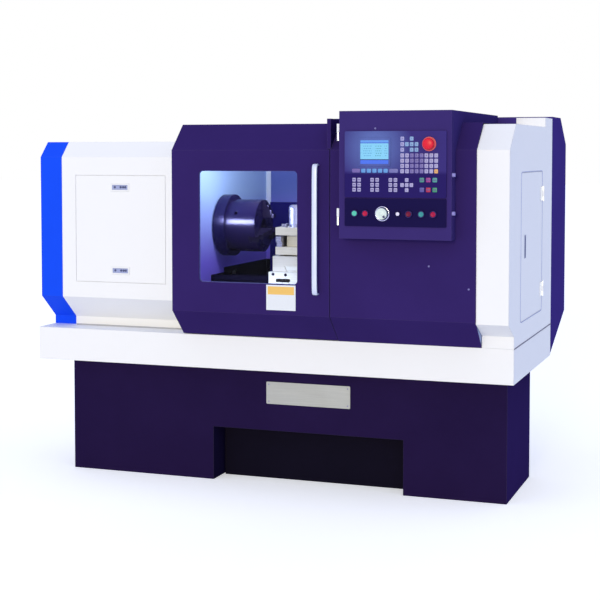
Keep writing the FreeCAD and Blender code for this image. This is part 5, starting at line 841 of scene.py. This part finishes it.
class LATHE_OT_control_unit(Step, bpy.types.Operator):
    """Finish the control box and add its keys, legends and lit screen"""
    bl_idname = "lathe.control_unit"
    bl_label = "Control unit"

    def make(self, finish, trim):
        box_low, box_high = corner("control_box")
        proud = 0.0001
        sides = (((None, box_low[0] - proud), OPEN, OPEN, PLATING_AND_STRIP_REFLECTION),
                 ((box_high[0] + proud, None), OPEN, OPEN, (0.60, 0.58, 0.84)))
        dress("control_box", powder_coat("control_box_paint", finish.box_purple, 0.48, 0.0, 0.05))
        dress("box_door", powder_coat("box_door_paint", finish.box_purple, 0.48, 0.0, 0.05, 0.8, areas=sides))
        unit, _ = corner("keypad_unit")
        low, high = corner("screen")
        above_screen, lower_field = 0.022, 0.103
        # painted glow: a paler pool on the unit's face just above the screen
        glow = tuple((low + high) / 2 + np.array([0.0, 0.0, above_screen]))
        dress("keypad_unit", moulded_plastic("unit_front_and_glow", finish.panel, 0.45, 700.0, 0.04,
                                             (finish.panel_low, unit[2] + lower_field),
                                             (glow, (0.42, 0.51, 0.79))))
        dress("button_panel", moulded_plastic("button_plate", finish.button_plate, 0.45, 700.0, 0.03))
        front = unit[1] + 2.0 * MM          # the unit's face, behind the screen's raised frame
        on_key = 0.98                       # share of a key's height at which its legend lies
        places = key_places()
        points, faces = keycaps(places, front, trim.key_lift)
        tints = np.repeat([rgba(tint) for *_, tint, _, _ in places], len(faces) // len(places), axis=0)
        keys = mesh_piece("keycaps", points, faces, tinted_plastic("key_moulding"), tint=tints)
        fit(keys, "control_door", "keypad_keys")
        ink = moulded_plastic("legend_ink", (0.34, 0.30, 0.56))
        fit(key_legends(places, front - trim.key_lift * on_key, ink), "control_door")
        cells, quads, colours = display_cells(low, high, low[1] - 0.0004)
        picture = mesh_piece("screen_picture", cells, quads, lit_display("lit_screen"), False, colours)
        fit(picture, "control_door")
        dress("screen", moulded_plastic("screen_back", (0.10, 0.13, 0.18), 0.2))


class LATHE_OT_push_buttons(Step, bpy.types.Operator):
    """Shape the push buttons with their rims, the signal lens and the emergency stop"""
    bl_idname = "lathe.push_buttons"
    bl_label = "Push buttons"

    BUTTONS = {"start_button": ("start_cap", (0.35, 0.78, 0.70), "green_plastic"),
               "stop_button": ("stop_cap", (0.72, 0.08, 0.28), "red_plastic"),
               "hold_button": ("hold_cap", (0.44, 0.04, 0.22), "dark_red_plastic"),
               "coolant_button": ("coolant_cap", (0.24, 0.58, 0.60), "teal_plastic"),
               "reset_button": ("reset_cap", (0.66, 0.06, 0.28), "red_plastic")}

    def make(self, finish, trim):
        chrome = ground_metal("collar_chrome", (0.22, 0.19, 0.42), "z", 0.35)
        collars = []
        for node, (body, colour, slot) in self.BUTTONS.items():
            radius, reach, foot = self.seat(node)
            plastic = moulded_plastic(body + "_plastic", colour, 0.35, specular=0.15)
            cap = turned_set(body + "_top", cap_profile(radius, reach, 0.0008), [foot], plastic, 32)
            fit(cap, body, node)
            collars.append((foot[0], foot[1] - 0.002, foot[2]))
        rims = turned_set("button_rims", collar_profile(0.0114, 0.0147, 0.0034), collars, chrome, 32)
        fit(rims, "control_door")
        lens_at = (corner("button_panel")[0][0] + 0.2295, collars[0][1] - 0.0010, collars[0][2])
        lens = turned_set("signal_lens", cap_profile(0.0078, 0.0042, -0.0012), [lens_at],
                          moulded_plastic("lens_plastic", (0.90, 0.88, 0.98), 0.25), 32)
        fit(lens, "control_door")
        radius, reach, foot = self.seat("estop_button")
        head = turned_set("estop_mushroom", mushroom_profile(radius, 0.0098, reach), [foot],
                          moulded_plastic("estop_plastic", (0.88, 0.08, 0.20), 0.35, specular=0.3), 48)
        fit(head, "estop", "estop_button")
        dress("estop_ring", moulded_plastic("estop_collar", (0.85, 0.36, 0.38), 0.4, specular=0.2))

    @staticmethod
    def seat(node):
        """Radius, reach and the centre of the foot of a round node that points forwards."""
        low, high = corner(node)
        centre = (low + high) / 2
        return (high[0] - low[0]) / 2, high[1] - low[1], (centre[0], high[1], centre[2])


class LATHE_OT_pulse_dial(Step, bpy.types.Operator):
    """Turn the fluted pulse handwheel with its finger knob and the plated rim behind it"""
    bl_idname = "lathe.pulse_dial"
    bl_label = "Pulse handwheel"

    def make(self, finish, trim):
        radius, deep, foot = LATHE_OT_push_buttons.seat("pulse_wheel")
        rise = 0.005
        pale = moulded_plastic("dial_plastic", (0.86, 0.92, 0.92), 0.35)
        dial = turned_set("handwheel", handwheel_profile(radius, deep, rise), [foot], pale, 144, teeth=36,
                          depth=0.0009)
        reach = (radius - 0.007) * math.sqrt(0.5)
        knob = [(0.0, 0.0), (0.0, 0.005), (rise * 0.7, 0.0049), (rise, 0.0036), (rise * 0.9, 0.0)]
        knob_at = np.array(foot) + np.array([reach, -(deep - rise - 0.0013), -reach])
        finger = turned_set("finger_knob", knob, [knob_at],
                            moulded_plastic("knob_plastic", (0.20, 0.17, 0.42), 0.3), 24)
        fit(finger, "pulse_dial")
        fit(dial, "pulse_dial", "pulse_wheel")
        rim = turned_set("dial_rim", collar_profile(0.0262, 0.0312, 0.0052), [foot],
                         ground_metal("dial_chrome", (0.80, 0.80, 0.95), "z", 0.18), 64)
        fit(rim, "control_door")


class LATHE_OT_headstock(Step, bpy.types.Operator):
    """Finish the bed, headstock, drive, spindle and chuck, with the chuck's face bolts"""
    bl_idname = "lathe.headstock"
    bl_label = "Headstock and chuck"

    def make(self, finish, trim):
        low, high = corner("live_centre")
        axis = (low + high) / 2
        dress("bed headstock tailstock", rough_casting("bed_casting", finish.casting))
        dress("spindle chuck_body live_centre",
              turned_metal("chuck_steel", finish.turned, axis[1], axis[2], 0.24, 0.1, 0.2))
        dress("chuck_jaw_1 chuck_jaw_2 chuck_jaw_3 motor_pulley",
              ground_metal("jaw_steel", finish.blued, "x", 0.22, 0.4, 0.3))
        dress("drive_motors", rough_casting("motor_paint", (0.10, 0.10, 0.13), 0.45))
        dress("drive_belt", soft_rubber("belt_rubber"))
        low, high = corner("chuck_body")
        radius, sunk = (high[2] - low[2]) / 2, 0.0139
        turn = np.radians([30.0, 150.0, 270.0])
        places = np.stack([np.full(turn.size, high[0] - sunk), axis[1] + 0.8 * radius * np.cos(turn),
                           axis[2] + 0.8 * radius * np.sin(turn)], -1)
        steel = ground_metal("bolt_steel", (0.32, 0.32, 0.38), "x", 0.3)
        bolts = turned_set("chuck_bolts", screw_profile(trim.bolt), places, steel, 24, "x", 1)
        fit(bolts, "spindle_group")


class LATHE_OT_carriage(Step, bpy.types.Operator):
    """Finish the saddle, cross slide, tool post, quill and screws, with the apron's screws and wiper"""
    bl_idname = "lathe.carriage"
    bl_label = "Carriage and tailstock"

    def make(self, finish, trim):
        for name, nodes, *look in (
                ("ground_steel", "saddle", finish.ground, "x", 0.45, 0.0),
                ("slide_steel", "cross_slide", (0.93, 0.92, 0.90), "x", 0.45, 0.0),
                ("post_steel", "tool_post", finish.post, "x", 0.45, 0.1),
                ("screw_steel", "ball_screw cross_screw quill", (0.78, 0.78, 0.80), "x", 0.25),
                ("tool_steel", "turning_tools", (0.62, 0.62, 0.72), "x", 0.28, 0.9),
                ("turret_metal", "turret_cap", (0.80, 0.80, 0.92), "x", 0.38)):
            dress(nodes, ground_metal(name, *look))
        low, high = corner("saddle")
        spots = [(low[0] + x, low[1], high[2] - drop) for x, drop in ((0.022, 0.071), (0.081, 0.073))]
        screws = turned_set("apron_screws", screw_profile(0.0065), spots,
                            ground_metal("apron_screw_metal", (0.20, 0.19, 0.36), "x", 0.4), 20)
        fit(screws, "carriage")
        points, faces = keycaps([(low[0] + 0.069, high[2] - 0.098, 0.066, 0.015)], low[1], 0.003)
        wiper = mesh_piece("apron_wiper", points, faces, soft_rubber("wiper_rubber"), closed=True)
        fit(wiper, "carriage")


class LATHE_OT_stage(bpy.types.Operator):
    """Lay the floor, hang the lights and set the camera"""
    bl_idname = "lathe.stage"
    bl_label = "Stage"

    LENS_SHIFT, FAR_LIMIT = -0.125, 200.0
    KEY_SPREAD, KEY_TILT, KEY_TURN = 16.0, 81.0, 2.0
    FLOOR_GLOW, FLOOR_REACH = 0.42, 60.0
    # name, share of the work space light, size, place, aim and the kind of ray that misses it: the lamps that
    # light the walls aren't mirrored, and the mirrored one lights no walls
    LAMPS = (("bay_light", 1.0, (0.26, 0.14), (-0.02, -0.52, 1.50), (-0.335, 0.0, 1.18), "visible_glossy"),
             ("chuck_light", 0.95, (0.135, 0.060), (-0.252, -0.46, 1.212), (-0.240, -0.25, 1.180),
              "visible_diffuse"),
             ("slide_light", 0.056, (0.16, 0.02), (0.045, -0.570, 0.902), (0.07, -0.478, 0.922),
              "visible_glossy"))

    def execute(self, context):
        stage = context.scene.lathe_stage
        self.floor(stage)
        self.sky(context.scene, stage)
        key = self.hang(context.scene, bpy.data.lights.new("key_light", "SUN"), stage.sun, (1.0, 0.85, 0.45))
        key.data.angle = math.radians(self.KEY_SPREAD)
        key.rotation_euler = (math.radians(self.KEY_TILT), 0.0, math.radians(self.KEY_TURN))
        for name, part, size, place, aim, unseen in self.LAMPS:
            lamp = bpy.data.lights.new(name, "AREA")
            lamp.shape = "RECTANGLE"
            lamp.size, lamp.size_y = size
            fitting = self.hang(context.scene, lamp, stage.bay * part, (0.80, 0.88, 1.0))
            fitting.location = place
            fitting.rotation_euler = (Vector(aim) - Vector(place)).to_track_quat("-Z", "Y").to_euler()
            setattr(fitting, unseen, False)
            fitting.visible_camera = False
        self.camera(context.scene, stage)
        context.scene.view_settings.view_transform = "Standard"
        return {"FINISHED"}

    def floor(self, stage):
        """A pale board with a faint grain, lit a little for the eye and for mirrors."""
        sheet = Sheet("floor_board")
        fine = sheet.noise(sheet.coordinates(), 40.0, 3.0)
        tone = sheet.blend(sheet.spread(fine, 0.0, 0.02), rgba(stage.floor), (0.5, 0.5, 0.5, 1.0))
        plain = sheet.add("BsdfDiffuse", Color=tone)
        glow = sheet.add("Emission", Color=(1.0, 1.0, 1.0, 1.0),
                         Strength=sheet.maths("MULTIPLY", sheet.direct(), self.FLOOR_GLOW))
        board = sheet.end(sheet.add("AddShader", plain.outputs[0], glow.outputs[0]))
        reach = self.FLOOR_REACH
        square = [(x * reach, y * reach, 0.0) for x, y in ((-1, -1), (1, -1), (1, 1), (-1, 1))]
        mesh_piece("floor", square, [(0, 1, 2, 3)], board, smooth=False)

    def sky(self, scene, stage):
        """An even bluish sky that looks white to the eye, to metal and through glass."""
        scene.world = bpy.data.worlds.new("studio")
        sheet = Sheet("studio", scene.world)
        even = sheet.add("Background", Color=(0.68, 0.76, 1.0, 1.0), Strength=stage.sky)
        white = sheet.add("Background", Color=(1.0, 1.0, 1.0, 1.0), Strength=1.0)
        sheet.end(sheet.cover(sheet.direct(), even, white))

    def hang(self, scene, lamp, power, colour):
        lamp.energy = power
        lamp.color = colour
        fitting = bpy.data.objects.new(lamp.name, lamp)
        scene.collection.objects.link(fitting)
        return fitting

    def camera(self, scene, stage):
        data = bpy.data.cameras.new("camera")
        data.sensor_width = 36.0
        data.lens = stage.lens
        data.shift_y = self.LENS_SHIFT
        data.clip_end = self.FAR_LIMIT
        eye = bpy.data.objects.new("camera", data)
        eye.location = stage.eye
        eye.rotation_euler = (math.radians(90.0) - stage.dip, 0.0, stage.turn)
        scene.collection.objects.link(eye)
        scene.camera = eye


class LATHE_PT_parts(bpy.types.Panel):
    """Shows the steps and their settings in the sidebar"""
    bl_idname = "LATHE_PT_parts"
    bl_label = "Turning lathe"
    bl_space_type = "VIEW_3D"
    bl_region_type = "UI"
    bl_category = "Lathe"

    def draw(self, context):
        for step in STEPS:
            self.layout.operator(step.bl_idname)
        for group in GROUPS:
            settings = getattr(context.scene, group)
            box = self.layout.box()
            for name in settings.__annotations__:
                box.prop(settings, name)


STEPS = (LATHE_OT_guards, LATHE_OT_sliding_door, LATHE_OT_latches, LATHE_OT_control_unit,
         LATHE_OT_push_buttons, LATHE_OT_pulse_dial, LATHE_OT_fasteners, LATHE_OT_headstock,
         LATHE_OT_carriage, LATHE_OT_stage)
GROUPS = {"lathe_finish": LatheFinish, "lathe_trim": LatheTrim, "lathe_stage": LatheStage}


def register():
    for name, group in GROUPS.items():
        bpy.utils.register_class(group)
        setattr(bpy.types.Scene, name, bpy.props.PointerProperty(type=group))
    for step in STEPS + (LATHE_PT_parts,):
        bpy.utils.register_class(step)


def unregister():
    for step in (LATHE_PT_parts,) + STEPS[::-1]:
        bpy.utils.unregister_class(step)
    for name, group in GROUPS.items():
        delattr(bpy.types.Scene, name)
        bpy.utils.unregister_class(group)


def main():
    """Makes the pieces in order."""
    register()
    bpy.ops.lathe.guards()
    bpy.ops.lathe.sliding_door()
    bpy.ops.lathe.latches()
    bpy.ops.lathe.control_unit()
    bpy.ops.lathe.push_buttons()
    bpy.ops.lathe.pulse_dial()
    bpy.ops.lathe.fasteners()
    bpy.ops.lathe.headstock()
    bpy.ops.lathe.carriage()
    bpy.ops.lathe.stage()


if __name__ == "__main__":
    main()
